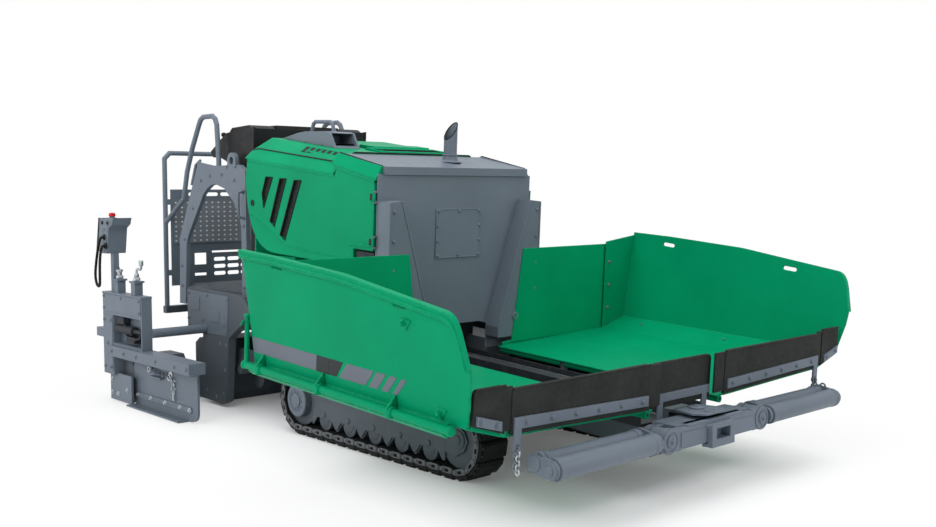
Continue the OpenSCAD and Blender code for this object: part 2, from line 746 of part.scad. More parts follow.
module handrails() {
    r = rail_d / 2;
    y = platform_half_w - arch_t / 2;
    color(steel_grey) {
        bent_rod([[rail_x, -rail_y, foot_z], [rail_x, -rail_y, rail_top_z - 40],
            [rail_x, -rail_y + 40, rail_top_z], [rail_x, rail_y - 40, rail_top_z],
            [rail_x, rail_y, rail_top_z - 40], [rail_x, rail_y, foot_z]], r);
        both() {
            // loop from the arch over to the rear post
            bent_rod([[rail_x, rail_y, 1200], [-1954, y, 1375], [-1900, y, 1564], [-1822, y, 1722],
                [-1719, y, 1886], [-1695, y, 1917], [-1656, y, 1934], [-1535, y, 1934], [-1500, y, 1914],
                [-1479, y, 1875], [-1460, y, 1640], [-1460, y, 1600]], r);
            // pads that carry the back panel
            for (z = [820, 1330]) box([rail_x, rail_y - 40, z], [rail_x + r, rail_y, z + 40]);
        }
    }
}

panel_half_w = rail_y - 30;
panel_z0 = floor_z - 15;
panel_z1 = 1440;
module backrest() {
    x0 = rail_x + rail_d / 2;
    color(steel_grey) along_x(x0, x0 + 5) difference() {
        translate([-panel_half_w, panel_z0]) square([2 * panel_half_w, panel_z1 - panel_z0]);
        // lower slots, square window and upper row
        for (i = [0 : 2], j = [0 : 3]) translate([-141 + j * 113, floor_z + 58 + i * 53]) oblong(98, 28);
        translate([-299, floor_z + 58]) square([95, 20], center = true);
        translate([-299, floor_z + 172]) square([95, 85], center = true);
        translate([-90, floor_z + 220]) square([230, 14], center = true);
        for (j = [0 : 5]) translate([-333 + j * 130, panel_z1 - 35]) oblong(110, 26);
    }
}

desk_half_w = 455;
desk_z = 1580;
module operator_desk() {
    color(black) {
        along_y(-desk_half_w, desk_half_w) polygon([[-1130, desk_z], [-1110, 1838], [-1456, 1812],
            [-1542, 1768], [-1666, 1697], [-1640, 1668], [-1529, 1660], [-1300, desk_z]]);
        // raised middle
        along_y(-250, 250) polygon([[-1150, 1830], [-1160, 1866], [-1420, 1866], [-1450, 1806]]);
        both() box([-1250, 350, floor_z], [-1200, 400, desk_z + 10]);
    }
}

// Push bar

fork_t = 14;
fork_w = 140;
fork_x = wing_front_x - 49;
fork_z0 = 258;
fork_z1 = 386;
beam_pin_x = roller_x - 97;
beam_rear_x = roller_x - 137;
beam_pin_r = 20;
beam_z0 = fork_z0 + fork_t + 2;
beam_z1 = fork_z1 - 2;
boss_r = 58;
arm_pin_r = 22;
eye_x0 = roller_x - 65;
eye_x1 = roller_x - 5;
disc_t = 26;

module push_beam() {
    color(steel_grey) difference() {
        union() {
            box([beam_rear_x, -290, beam_z0], [eye_x1 + 4, 290, beam_z1]);
            // front casting round the tow pocket
            box([eye_x1 + 4, -290, beam_z0 + 8], [eye_x1 + 4 + disc_t, 290, beam_z1 - 8]);
            box([eye_x1 + 4, -90, beam_z0 - 14], [eye_x1 + 60, 90, beam_z1 - 20]);
            both() {
                for (x = [eye_x1 + 4, eye_x0 - 4 - disc_t]) {
                    rod_x([x, arm_pivot_y, roller_z], boss_r, disc_t);
                    box([x, 285, roller_z - 50], [x + disc_t, arm_pivot_y, roller_z + 50]);
                }
                rod_x([eye_x0 - 4 - disc_t, arm_pivot_y, roller_z], arm_pin_r,
                    eye_x1 - eye_x0 + 12 + 2 * disc_t);
            }
        }
        rod_z([beam_pin_x, 0, beam_z0 - 50], beam_pin_r + pin_gap, 200);
        box([eye_x1 + 12, -55, beam_z0 + 22], [eye_x1 + 80, 55, beam_z1 - 38]);
    }
}

arm_tube_r = 36;
arm_tube_x = roller_x - 89;
arm_y0 = arm_pivot_y + boss_r + 8;
roller_y0 = arm_y0 + 22 + 3;
arm_y1 = roller_y0 + roller_len + 3;
axle_r = 16;
module push_arm(left) {
    color(steel_grey) sided(left) difference() {
        union() {
            rod_x([eye_x0, arm_pivot_y, roller_z], boss_r - 4, eye_x1 - eye_x0);
            box([eye_x0, arm_pivot_y, roller_z - 34], [eye_x1, arm_y0 + 22, roller_z + 34]);
            // inner and outer end plates
            for (y = [arm_y0, arm_y1]) along_y(y, y + 16) {
                translate([roller_x, roller_z]) circle(r = 40);
                translate([arm_tube_x, roller_z + 14]) circle(r = 42);
                polygon([[arm_tube_x, roller_z - 28], [roller_x, roller_z - 40], [roller_x, roller_z + 40],
                    [arm_tube_x, roller_z + 56]]);
            }
            rod_y([arm_tube_x, arm_y0, roller_z + 14], arm_tube_r, arm_y1 - arm_y0);
            rod_y([roller_x, arm_y0 + 2, roller_z], axle_r, arm_y1 - arm_y0 + 10);
        }
        rod_x([eye_x0 - eps, arm_pivot_y, roller_z], arm_pin_r + pin_gap, eye_x1 - eye_x0 + 2 * eps);
    }
}

module push_roller(left) {
    color(steel_grey) sided(left) difference() {
        rod_y([roller_x, roller_y0, roller_z], roller_r, roller_len);
        rod_y([roller_x, roller_y0 - eps, roller_z], axle_r + pin_gap, roller_len + 2 * eps);
    }
}

// Screed

arm_in_y = screed_half_w + 15;
arm_out_y = arm_in_y + 58;
tow_pin_r = 24;
ext_front_x = -1760;
module tow_arms() {
    color(steel_grey) for (left = [true, false]) sided(left) difference() {
        union() {
            along_y(arm_in_y, arm_out_y) {
                translate([tow_x, tow_z]) circle(r = 62);
                polygon([[tow_x, tow_z - 62], [tow_x, tow_z + 62], [-950, 700], [-1000, 752], [-1735, 768],
                    [-1735, 500], [-1500, 460], [-1200, 460], [-1000, 590], [-900, 585]]);
            }
            // plate that carries the main screed
            along_y(arm_in_y, arm_out_y)
                polygon([[-1190, 480], [-1238, 40], [-1300, 14], [-1500, 30], [-1530, 480]]);
        }
        rod_y([tow_x, arm_in_y - eps, tow_z], tow_pin_r + pin_gap, arm_out_y - arm_in_y + 2 * eps);
        rod_y([guide_x(left), arm_in_y - eps, guide_z], guide_r + 6, arm_out_y - arm_in_y + 2 * eps);
    }
}

screed_front_x = -1400;
screed_rear_x = -1740;
guide_z = 505;
guide_r = 30;
guide_gap = 0.5;
housing_r = guide_r + 12;
function guide_x(left) = left ? -1585 : -1485;

module screed() {
    color(dark_grey) {
        along_y(-arm_in_y, arm_in_y) polygon([[screed_front_x, 60], [screed_front_x - 30, 4],
            [screed_rear_x, 4], [screed_rear_x, 380], [screed_rear_x + 60, 420], [screed_front_x - 60, 420],
            [screed_front_x, 340]]);
        // guide tubes of the extensions
        for (left = [true, false]) difference() {
            union() {
                rod_y([guide_x(left), -screed_half_w, guide_z], housing_r, 2 * screed_half_w);
                for (y = [-450, 0, 450])
                    box([guide_x(left) - 25, y - 20, 420], [guide_x(left) + 25, y + 20, guide_z]);
            }
            rod_y([guide_x(left), -screed_half_w - eps, guide_z], guide_r + guide_gap,
                2 * screed_half_w + 2 * eps);
        }
    }
}

tower_t = 72;
tower_in_y = gate_outer_y - tower_t;
guide_in_y = 175;
module screed_ext(left) {
    color(dark_grey) sided(left) along_y(screed_half_w + 75, tower_in_y)
        polygon([[ext_front_x, 60], [ext_front_x - 30, 4], [tower_rear_x + 10, 4],
            [tower_rear_x + 10, 260], [tower_rear_x + 60, 300], [ext_front_x - 40, 300], [ext_front_x, 250]]);
}

recess_x = tower_rear_x + 155;
recess_z = [410, 597];
beam_y = [tower_in_y - 13, gate_outer_y + 27];
bar_z = [323, 393];
bar_front_x = -815;
gate_x = [-1750, -892];
module end_gate(left) {
    color(steel_grey) sided(left) {
        difference() {
            union() {
                box([tower_rear_x, tower_in_y, bar_z[0]], [tower_front_x, gate_outer_y, tower_h]);
                box([tower_rear_x, tower_in_y, 190], [recess_x, gate_outer_y, tower_h]);
            }
            box([recess_x, tower_in_y + 14, recess_z[0]],
                [tower_front_x - 12, gate_outer_y + eps, recess_z[1]]);
        }
        // guide tube
        rod_y([guide_x(left), guide_in_y, guide_z], guide_r, tower_in_y - guide_in_y);
        // long beam, end plate, its runner and the rear bracket
        box([recess_x - 20, beam_y[0], bar_z[0]], [bar_front_x, beam_y[1], bar_z[1]]);
        along_y(beam_y[0], beam_y[0] + 15) polygon(concat(
            [[gate_x[0], bar_z[0] + 1], [gate_x[0], 20], [gate_x[0] + 30, 4]],
            curve([gate_x[1] - 110, 4], [gate_x[1], 4], [gate_x[1], 70], 5), [[gate_x[1], bar_z[0] + 1]]));
        box([gate_x[0] + 30, beam_y[0] + 14, 4], [gate_x[1] - 110, gate_outer_y + 5, 14]);
        box([tower_rear_x + 44, tower_in_y + 32, 12], [gate_x[0] + 50, tower_in_y + 48, 200]);
        // spindle posts
        for (x = [-1867, -1615]) {
            box([x - 28, tower_in_y + 8, tower_h], [x + 28, gate_outer_y - 8, tower_h + 85]);
            box([x - 38, tower_in_y, tower_h + 85], [x + 38, gate_outer_y, tower_h + 97]);
            rod_z([x, tower_in_y + tower_t / 2, tower_h + 97], 13, 45);
        }
        // rear tab
        box([tower_rear_x - 132, tower_in_y + 10, 430], [tower_rear_x, gate_outer_y - 10, 490]);
        // console post
        box([-1960, tower_in_y + 14, tower_h], [-1920, tower_in_y + 54, 1010]);
    }
}

module side_console(left) {
    color(steel_grey) sided(left) {
        along_y(tower_in_y - 40, gate_outer_y + 20) polygon([[-2085, 1040], [-2045, 1245], [-1830, 1250],
            [-1850, 1205], [-1900, 1180], [-1930, 1010], [-2040, 1010]]);
        rod_z([-1950, gate_outer_y - 30, 1246], 18, 34);
        for (p = [cable_route[0], cable_route[len(cable_route) - 1]])
            rod_y([p.x, gate_outer_y + 20, p.z], 14, p.y - gate_outer_y - 20);
    }
}

// Cable that hangs in a loop under the side console
cable_r = 9;
cable_route = [
    [-1960, 1108, 1120], [-1960, 1120, 1120], [-1966, 1130, 1108], [-1976, 1134, 1080],
    [-1992, 1136, 1040], [-2010, 1136, 990], [-2026, 1136, 940], [-2038, 1136, 890],
    [-2044, 1134, 850], [-2044, 1130, 816], [-2034, 1127, 794], [-2016, 1126, 786],
    [-1998, 1127, 794], [-1986, 1130, 816], [-1980, 1132, 850], [-1974, 1134, 900],
    [-1966, 1136, 950], [-1956, 1136, 1000], [-1946, 1134, 1036], [-1940, 1129, 1056],
    [-1940, 1120, 1062], [-1940, 1108, 1062]];
cable_sides = 8;
function unit(v) = v / norm(v);
function route_dir(i) = unit(cable_route[min(i + 1, len(cable_route) - 1)] - cable_route[max(i - 1, 0)]);
function ring_at(i) = let (d = route_dir(i), u = unit(cross(d, [0, 1, 0.01])), v = cross(d, u))
    [for (k = [0 : cable_sides - 1]) let (a = 360 * k / cable_sides)
        cable_route[i] + cable_r * (cos(a) * u + sin(a) * v)];

module console_cable(left) {
    n = len(cable_route);
    pts = [for (i = [0 : n - 1]) each ring_at(i)];
    quads = [for (i = [0 : n - 2], k = [0 : cable_sides - 1])
        let (a = i * cable_sides, b = a + cable_sides, m = (k + 1) % cable_sides)
        [a + k, b + k, b + m, a + m]];
    caps = [[for (k = [0 : cable_sides - 1]) k], [for (k = [0 : cable_sides - 1]) n * cable_sides - 1 - k]];
    color(black) sided(left) polyhedron(pts, concat(quads, caps));
}

// Augers

auger_x = -1212;
auger_z = 190;
auger_shaft_r = 32;
auger_y0 = 62;
auger_len = 470;
auger_stub_r = 20;
flight_turns = 2.5;
flight_t = 9;
module auger(left) {
    color(dark_grey) sided(left) pitched()
        translate([auger_x, auger_y0, auger_z]) rotate([-90, 0, 0]) difference() {
        union() {
            cylinder(r = auger_shaft_r, h = auger_len);
            translate([0, 0, 4])
                linear_extrude(auger_len - 8, twist = 360 * flight_turns, slices = 40, segments = 8)
                    translate([0, -flight_t]) square([auger_r, 2 * flight_t]);
        }
        translate([0, 0, -eps]) cylinder(r = auger_stub_r + pin_gap, h = 60 + eps);
    }
}

module auger_case() {
    color(dark_grey) pitched() {
        box([auger_x - 70, -52, auger_z - 90], [frame_rear_x, 52, deck_z - deck_t]);
        rod_y([auger_x, -auger_y0 - 50, auger_z], auger_stub_r, 2 * auger_y0 + 100);
    }
}

main_frame();
engine();
track_frames();
track(false);  // track_right
track(true);  // track_left
conveyor_deck();
conveyor_chains();
hopper_rear_walls();
centre_apron();
centre_strip();
hood_front();
hood_lid();
exhaust();
hood_top();
intake_hump();
platform();
arches();
handrails();
backrest();
operator_desk();
auger_case();
wing(false);  // wing_right
wing(true);  // wing_left
wing_flap(false);  // wing_flap_right
wing_flap(true);  // wing_flap_left
apron_strip(false);  // apron_strip_right
apron_strip(true);  // apron_strip_left
push_beam();
push_arm(false);  // push_arm_right
push_arm(true);  // push_arm_left
push_roller(false);  // push_roller_right
push_roller(true);  // push_roller_left
door(false);  // door_right
door(true);  // door_left
tow_arms();
screed();
screed_ext(false);  // screed_ext_right
screed_ext(true);  // screed_ext_left
end_gate(false);  // end_gate_right
end_gate(true);  // end_gate_left
side_console(false);  // side_console_right
side_console(true);  // side_console_left
console_cable(false);  // console_cable_right
console_cable(true);  // console_cable_left
auger(false);  // auger_right
auger(true);  // auger_left
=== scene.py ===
"""Looks of a compact tracked asphalt paver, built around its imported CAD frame."""
import math

import bmesh
import bpy
from mathutils import Matrix, Vector


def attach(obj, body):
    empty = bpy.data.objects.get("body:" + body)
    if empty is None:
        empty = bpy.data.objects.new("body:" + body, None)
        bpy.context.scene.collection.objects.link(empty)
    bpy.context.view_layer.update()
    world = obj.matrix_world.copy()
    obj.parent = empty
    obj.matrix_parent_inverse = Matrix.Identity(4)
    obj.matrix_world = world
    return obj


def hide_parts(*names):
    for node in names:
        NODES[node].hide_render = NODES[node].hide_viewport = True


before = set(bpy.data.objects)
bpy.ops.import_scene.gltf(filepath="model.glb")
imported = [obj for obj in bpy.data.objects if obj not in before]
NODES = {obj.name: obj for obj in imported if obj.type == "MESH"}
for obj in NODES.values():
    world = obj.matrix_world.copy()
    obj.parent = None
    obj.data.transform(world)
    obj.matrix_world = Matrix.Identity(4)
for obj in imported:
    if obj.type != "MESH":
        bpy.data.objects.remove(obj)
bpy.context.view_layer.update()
MM = 0.001
PITCH = Matrix.Rotation(math.radians(2.93), 4, "Y")
LEVEL = Matrix.Identity(4)
# pieces in pairs are drawn on the left, where OUT is +Y, and mirrored for the right
SIDES = (("right", -1), ("left", 1))
FRONT, OUT, UP = (1, 0, 0), (0, 1, 0), (0, 0, 1)


# Mesh helpers: millimetres in, metres out

SHARP_ANGLE = 38
BEVEL_ANGLE = 35


def turns(n):
    """Angles of n even steps round a circle."""
    return [2 * math.pi * k / n for k in range(n)]


class Shape:
    """Collects simple solids in one mesh. Tractor shapes are drawn level and pitched at the end."""

    def __init__(self, pitched=True):
        self.bm = bmesh.new()
        self.place = PITCH if pitched else LEVEL

    def loop_faces(self, rings, closed=False):
        """Skin over rings of points: capped at both ends, or closed from the last ring to the first."""
        rows = [[self.bm.verts.new(Vector(p) * MM) for p in ring] for ring in rings]
        n = len(rows[0])
        pairs = list(zip(rows, rows[1:])) + ([(rows[-1], rows[0])] if closed else [])
        for a, b in pairs:
            for i in range(n):
                j = (i + 1) % n
                self.bm.faces.new((a[i], a[j], b[j], b[i]))
        if not closed:
            self.bm.faces.new(list(reversed(rows[0])))
            self.bm.faces.new(rows[-1])
        return self

    def prism(self, pts, axis, lo, hi):
        """Flat outline drawn out along an axis."""
        at = "xyz".index(axis)
        return self.loop_faces([[(*p[:at], h, *p[at:]) for p in pts] for h in (lo, hi)])

    def box(self, a, b):
        return self.prism([(a[0], a[1]), (b[0], a[1]), (b[0], b[1]), (a[0], b[1])], "z", a[2], b[2])

    @staticmethod
    def axes(d):
        d = Vector(d).normalized()
        u = d.orthogonal().normalized()
        return d, u, d.cross(u)

    @staticmethod
    def circle(c, u, v, r, n):
        return [c + (u * math.cos(t) + v * math.sin(t)) * r for t in turns(n)]

    def lathe(self, p, d, profile, n=24):
        """Round solid on p along d, from pairs of radius and height."""
        d, u, v = self.axes(d)
        p = Vector(p)
        return self.loop_faces([self.circle(p + d * h, u, v, r, n) for r, h in profile])

    def rod(self, p, q, r, n=20):
        d = Vector(q) - Vector(p)
        return self.lathe(p, d, [(r, 0), (r, d.length)], n)

    def tube(self, pts, r, n=10, closed=False):
        """Round bar of radius r through a row of points."""
        pts = [Vector(p) for p in pts]
        m = len(pts)
        rings, u = [], None
        for i, p in enumerate(pts):
            a = pts[(i - 1) % m] if closed or i else p
            b = pts[(i + 1) % m] if closed or i < m - 1 else p
            d = (b - a).normalized()
            if u is None:
                u = d.orthogonal().normalized()
            u = (u - d * u.dot(d)).normalized()
            rings.append(self.circle(p, u, d.cross(u), r, n))
        return self.loop_faces(rings, closed=closed)

    def ring(self, c, d, big, small, n=24, m=8):
        """Torus round the axis d, with n steps round it and m round its wire."""
        _, u, v = self.axes(d)
        return self.tube(self.circle(Vector(c), u, v, big, n), small, m, closed=True)

    def slab(self, corners, out, t):
        """Thin plate on a flat outline, raised by t along out and sunk in by half of that."""
        up = Vector(out).normalized() * t
        low = [Vector(p) - up * 0.5 for p in corners]
        return self.loop_faces([low, [p + up * 1.5 for p in low]])

    def bolt(self, p, d, r=9.0, h=7.0):
        """Washer with a six-sided head of radius r on it."""
        washer_r, washer_t, seat = r * 1.55, 2, 2.4
        self.lathe(p, d, [(washer_r, 0), (washer_r, washer_t), (r * 1.4, 2.6)], 16)
        base = Vector(p) + Vector(d).normalized() * seat
        return self.lathe(base, d, [(r, 0), (r, h * 0.8), (r * 0.8, h)], 6)

    def rivet(self, p, d, r, h):
        return self.lathe(p, d, [(r, 0), (r * 0.92, h * 0.55), (r * 0.6, h * 0.9), (r * 0.2, h)], 12)

    def done(self, name, body, mat, side=1, bevel=1.5, slot=None):
        """Make the piece and let it ride on a body; side -1 mirrors it to the right."""
        bmesh.ops.transform(self.bm, matrix=self.place, verts=self.bm.verts)
        if side < 0:
            bmesh.ops.scale(self.bm, vec=(1, -1, 1), verts=self.bm.verts)
        bmesh.ops.recalc_face_normals(self.bm, faces=self.bm.faces)
        mesh = bpy.data.meshes.new(name)
        self.bm.to_mesh(mesh)
        self.bm.free()
        mesh.shade_smooth()
        mesh.set_sharp_from_angle(angle=math.radians(SHARP_ANGLE))
        obj = bpy.data.objects.new(name, mesh)
        bpy.context.scene.collection.objects.link(obj)
        mesh.materials.append(mat)
        if bevel:
            mod = obj.modifiers.new("edges", "BEVEL")
            mod.width = bevel * MM
            mod.segments = 2
            mod.limit_method = "ANGLE"
            mod.angle_limit = math.radians(BEVEL_ANGLE)
            mod.harden_normals = True
        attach(obj, body)
        return obj


def level_shapes(count):
    """Empty shapes for pieces that aren't pitched with the tractor."""
    return [Shape(pitched=False) for _ in range(count)]


def pitched_shapes(count):
    return [Shape() for _ in range(count)]


def arc(a, b, c, n):
    """Points of a quadratic curve."""
    a, b, c = Vector(a), Vector(b), Vector(c)
    return [(1 - t) ** 2 * a + 2 * t * (1 - t) * b + t * t * c for t in (i / n for i in range(n + 1))]


def rounded(x0, y0, x1, y1, r, n=5):
    """Rectangle outline with round corners."""
    corners = ((x1 - r, y1 - r), (x0 + r, y1 - r), (x0 + r, y0 + r), (x1 - r, y0 + r))
    pts = []
    for quarter, (cx, cy) in enumerate(corners):
        for i in range(n + 1):
            t = math.radians(90 * quarter + 90 * i / n)
            pts.append((cx + r * math.cos(t), cy + r * math.sin(t)))
    return pts


# Materials

# sockets of a colour mix node
MIX_FAC, MIX_A, MIX_B, MIX_OUT = 0, 6, 7, 2


class Nodes:
    """Short spellings for building the nodes of a material or a world."""

    def __init__(self, owner):
        owner.use_nodes = True
        self.tree = owner.node_tree
        self.tree.nodes.clear()

    def new(self, kind, **props):
        node = self.tree.nodes.new(kind)
        for k, v in props.items():
            setattr(node, k, v)
        return node

    def link(self, a, b):
        self.tree.links.new(a, b)

    def math(self, op, a, b):
        node = self.new("ShaderNodeMath", operation=op)
        for i, v in enumerate((a, b)):
            if isinstance(v, (int, float)):
                node.inputs[i].default_value = v
            else:
                self.link(v, node.inputs[i])
        return node.outputs[0]

    def seen(self):
        """1 for the rays that show a thing in the picture, 0 for those that only light it."""
        rays = self.new("ShaderNodeLightPath").outputs
        mirrored = self.math("MAXIMUM", rays["Is Glossy Ray"], rays["Is Transmission Ray"])
        return self.math("MAXIMUM", rays["Is Camera Ray"], mirrored)

    def blend(self, fac, a, b, out):
        """Mix two shaders into an output node."""
        mixer = self.new("ShaderNodeMixShader")
        for i, source in enumerate((fac, a.outputs[0], b.outputs[0])):
            self.link(source, mixer.inputs[i])
        self.link(mixer.outputs[0], out.inputs[0])


class Look(Nodes):
    """Nodes of one material with a surface shader."""

    def __init__(self, name):
        self.mat = bpy.data.materials.new(name)
        super().__init__(self.mat)
        self.out = self.new("ShaderNodeOutputMaterial")
        self.bsdf = self.new("ShaderNodeBsdfPrincipled")
        self.link(self.bsdf.outputs[0], self.out.inputs[0])
        self.coord = self.new("ShaderNodeTexCoord").outputs["Object"]

    def surface(self, colour, rough, normal):
        """Link the sockets of the surface shader that every look sets."""
        for socket, source in (("Base Color", colour), ("Roughness", rough), ("Normal", normal)):
            self.link(source, self.bsdf.inputs[socket])

    def noise(self, scale, detail, rough=0.55, stretch=None):
        node = self.new("ShaderNodeTexNoise")
        node.inputs["Scale"].default_value = scale
        node.inputs["Detail"].default_value = detail
        node.inputs["Roughness"].default_value = rough
        src = self.coord
        if stretch:
            mapping = self.new("ShaderNodeMapping")
            mapping.inputs["Scale"].default_value = stretch
            self.link(src, mapping.inputs["Vector"])
            src = mapping.outputs[0]
        self.link(src, node.inputs["Vector"])
        return node.outputs["Fac"]

    def ramp(self, fac, lo, hi, out_lo=0.0, out_hi=1.0):
        node = self.new("ShaderNodeMapRange", clamp=True)
        self.link(fac, node.inputs["Value"])
        for key, v in (("From Min", lo), ("From Max", hi), ("To Min", out_lo), ("To Max", out_hi)):
            node.inputs[key].default_value = v
        return node.outputs[0]

    def times(self, a, b):
        return self.math("MULTIPLY", a, b)

    def plus(self, a, b):
        return self.math("ADD", a, b)

    def mix(self, fac, a, b):
        node = self.new("ShaderNodeMix", data_type="RGBA")
        self.link(fac, node.inputs[MIX_FAC])
        for i, v in ((MIX_A, a), (MIX_B, b)):
            if isinstance(v, tuple):
                node.inputs[i].default_value = (*v, 1.0)
            else:
                self.link(v, node.inputs[i])
        return node.outputs[MIX_OUT]

    def edges(self, radius):
        """Bevelled normal, and a mask that is 1 on edges."""
        bevel = self.new("ShaderNodeBevel", samples=4)
        bevel.inputs["Radius"].default_value = radius
        geo = self.new("ShaderNodeNewGeometry")
        dot = self.new("ShaderNodeVectorMath", operation="DOT_PRODUCT")
        self.link(bevel.outputs[0], dot.inputs[0])
        self.link(geo.outputs["Normal"], dot.inputs[1])
        return bevel.outputs[0], self.ramp(dot.outputs["Value"], lo=0.995, hi=0.86)

    def bump(self, height, strength, distance, normal=None):
        node = self.new("ShaderNodeBump")
        node.inputs["Strength"].default_value = strength
        node.inputs["Distance"].default_value = distance
        self.link(height, node.inputs["Height"])
        if normal is not None:
            self.link(normal, node.inputs["Normal"])
        return node.outputs[0]

    def low(self, top):
        """1 at the ground, 0 at a height of top metres."""
        sep = self.new("ShaderNodeSeparateXYZ")
        self.link(self.coord, sep.inputs[0])
        return self.ramp(sep.outputs["Z"], top, 0.0)


def lin(r, g, b):
    """Linear colour of an sRGB triple in 0 to 255."""
    def straight(v):
        return v / 12.92 if v <= 0.04045 else ((v + 0.055) / 1.055) ** 2.4
    return tuple(straight(v / 255.0) for v in (r, g, b))


def shade(base, gain, lift=0.0):
    """Lighter or darker form of a colour."""
    return tuple(min(1.0, v * gain + lift) for v in base)


DUST = lin(120, 116, 108)
BUMP_DEPTH = 0.001


def paint(name, base, rough, dust, edge=1.35, radius=0.004, shine=0.2):
    """Paint with faint clouds, edges lightened in patches by chipped wear and by a painted highlight, and
    dust that is thicker near the ground.
    """
    m = Look(name)
    cloud = m.ramp(m.noise(scale=2.3, detail=5.0), lo=0.35, hi=0.68)
    colour = m.mix(cloud, shade(base, 0.86), base)
    normal, edge_mask = m.edges(radius)
    chips = m.ramp(m.noise(scale=55.0, detail=6.0, rough=0.7), lo=0.42, hi=0.62)
    # edges lighter in patches: partly chipped wear, partly a painted highlight
    wear_and_highlight = m.times(edge_mask, m.times(chips, 0.75))
    colour = m.mix(wear_and_highlight, colour, shade(base, edge, lift=0.02))
    specks = m.ramp(m.noise(scale=21.0, detail=8.0, rough=0.72), lo=0.52, hi=0.75)
    dirt = m.times(specks, m.plus(m.times(m.low(0.75), dust * 2.5), dust * 0.5))
    colour = m.mix(dirt, colour, DUST)
    uneven = m.plus(m.times(specks, 0.12), rough - 0.03)
    m.bsdf.inputs["Specular IOR Level"].default_value = shine
    peel = m.bump(m.noise(scale=260.0, detail=2.0), 0.05, BUMP_DEPTH, normal)
    m.surface(colour, uneven, peel)
    return m.mat


def rubber(name, base, dust, rough=0.75, grain=320.0):
    """Dull rubber or plastic with edges lightened for wear and as a painted highlight, dust and a fine
    grain.
    """
    m = Look(name)
    normal, edge_mask = m.edges(0.004)
    cloud = m.ramp(m.noise(scale=7.0, detail=6.0), lo=0.35, hi=0.7)
    colour = m.mix(cloud, shade(base, 0.8), shade(base, 1.25))
    # lighter edges: partly wear, partly a painted highlight
    colour = m.mix(m.times(edge_mask, 0.35), colour, shade(base, 2.2))
    specks = m.ramp(m.noise(scale=34.0, detail=8.0, rough=0.7), lo=0.5, hi=0.78)
    colour = m.mix(m.times(specks, m.times(m.low(0.9), dust)), colour, DUST)
    uneven = m.ramp(m.noise(scale=40.0, detail=4.0), 0.3, 0.7, rough - 0.1, rough + 0.1)
    m.bsdf.inputs["Specular IOR Level"].default_value = 0.15
    grained = m.bump(m.noise(scale=grain, detail=3.0), 0.12, BUMP_DEPTH, normal)
    m.surface(colour, uneven, grained)
    return m.mat


def metal(name, base, rough, streak=(1.0, 60.0, 60.0), metallic=0.9):
    """Bare metal with streaks, and edges painted brighter as a highlight."""
    m = Look(name)
    normal, edge_mask = m.edges(0.002)
    lines = m.noise(scale=9.0, detail=6.0, rough=0.6, stretch=streak)
    colour = m.mix(m.ramp(lines, lo=0.35, hi=0.65), shade(base, 0.75), shade(base, 1.15))
    # painted highlight: the edges lighter than the metal
    colour = m.mix(m.times(edge_mask, 0.4), colour, shade(base, 1.4))
    m.bsdf.inputs["Metallic"].default_value = metallic
    uneven = m.ramp(lines, 0.3, 0.7, rough - 0.08, rough + 0.1)
    m.surface(colour, uneven, m.bump(lines, 0.08, BUMP_DEPTH, normal))
    return m.mat


def perforated(name, base, behind, scale=29.0, wide=0.7):
    """Grey sheet with regular round holes that show a light ground."""
    m = Look(name)
    cells = m.new("ShaderNodeTexVoronoi", voronoi_dimensions="2D")
    cells.inputs["Scale"].default_value = scale
    cells.inputs["Randomness"].default_value = 0.0
    split = m.new("ShaderNodeSeparateXYZ")
    m.link(m.coord, split.inputs[0])
    flat = m.new("ShaderNodeCombineXYZ")
    m.link(m.times(split.outputs["Y"], wide), flat.inputs["X"])
    m.link(split.outputs["Z"], flat.inputs["Y"])
    m.link(flat.outputs[0], cells.inputs["Vector"])
    holes = m.ramp(cells.outputs["Distance"], lo=0.19, hi=0.14)
    cloud = m.mix(m.ramp(m.noise(scale=6.0, detail=5.0), lo=0.35, hi=0.7), shade(base, 0.8), base)
    uneven = m.ramp(holes, 0.0, 1.0, 0.45, 0.8)
    sunk = m.bump(m.ramp(holes, 0.0, 1.0, 1.0, 0.0), 0.5, 2 * BUMP_DEPTH)
    m.surface(m.mix(holes, cloud, behind), uneven, sunk)
    return m.mat


# the green paints have the widest and lightest edges: chipped wear, and a painted highlight along them
GREEN = paint("green_paint", lin(0, 146, 100), rough=0.45, edge=1.7, dust=0.012, radius=0.01, shine=0.04)
GREEN_IN = paint("green_inside", lin(0, 150, 100), rough=0.5, edge=1.6, dust=0.02, radius=0.008, shine=0.04)
GREY = paint("grey_paint", lin(104, 114, 125), rough=0.48, edge=1.45, dust=0.06)
# darker grey: partly the frames' own darker paint, partly painted shade for grey parts in shadow, such as
# the roller guards and the tow arms
DARK = paint("dark_grey_paint", lin(80, 88, 95), rough=0.55, edge=1.5, dust=0.1)
BLACKISH = paint("deep_grey_paint", lin(42, 46, 51), rough=0.6, edge=1.5, dust=0.12)
RUBBER = rubber("black_rubber", lin(40, 42, 41), dust=0.08)
PAD = rubber("track_pad_rubber", lin(25, 26, 27), rough=0.7, dust=0.1)
PLASTIC = rubber("black_plastic", lin(24, 25, 27), rough=0.5, dust=0.05, grain=700.0)
# near black for the vent slats, bars and rims, and painted shade in the slits and openings
VENT_BLACK_AND_SHADE = rubber("vent_black_and_painted_shade", lin(24, 26, 26), rough=0.6, dust=0.03, grain=900.0)
IRON = metal("chain_iron", lin(92, 95, 99), rough=0.5, metallic=0.4)
ZINC = metal("galvanised", lin(176, 182, 186), rough=0.42, streak=(12.0, 12.0, 12.0))
RED = paint("red_plastic", lin(205, 28, 30), rough=0.35, dust=0.02)
STRIPE = paint("stripe_grey", lin(104, 110, 120), rough=0.5, dust=0.05)
STRIPE_DARK = paint("stripe_dark", lin(44, 47, 50), rough=0.5, dust=0.05)
# painted shade: near black for the insides of the exhaust pipe and the scoop and for the windows of the
# track links
HOLE_SHADE = rubber("painted_hole_shade", lin(12, 12, 13), rough=0.8, dust=0.0)
PERF = perforated("perforated_grey", lin(118, 125, 133), behind=lin(212, 214, 216))

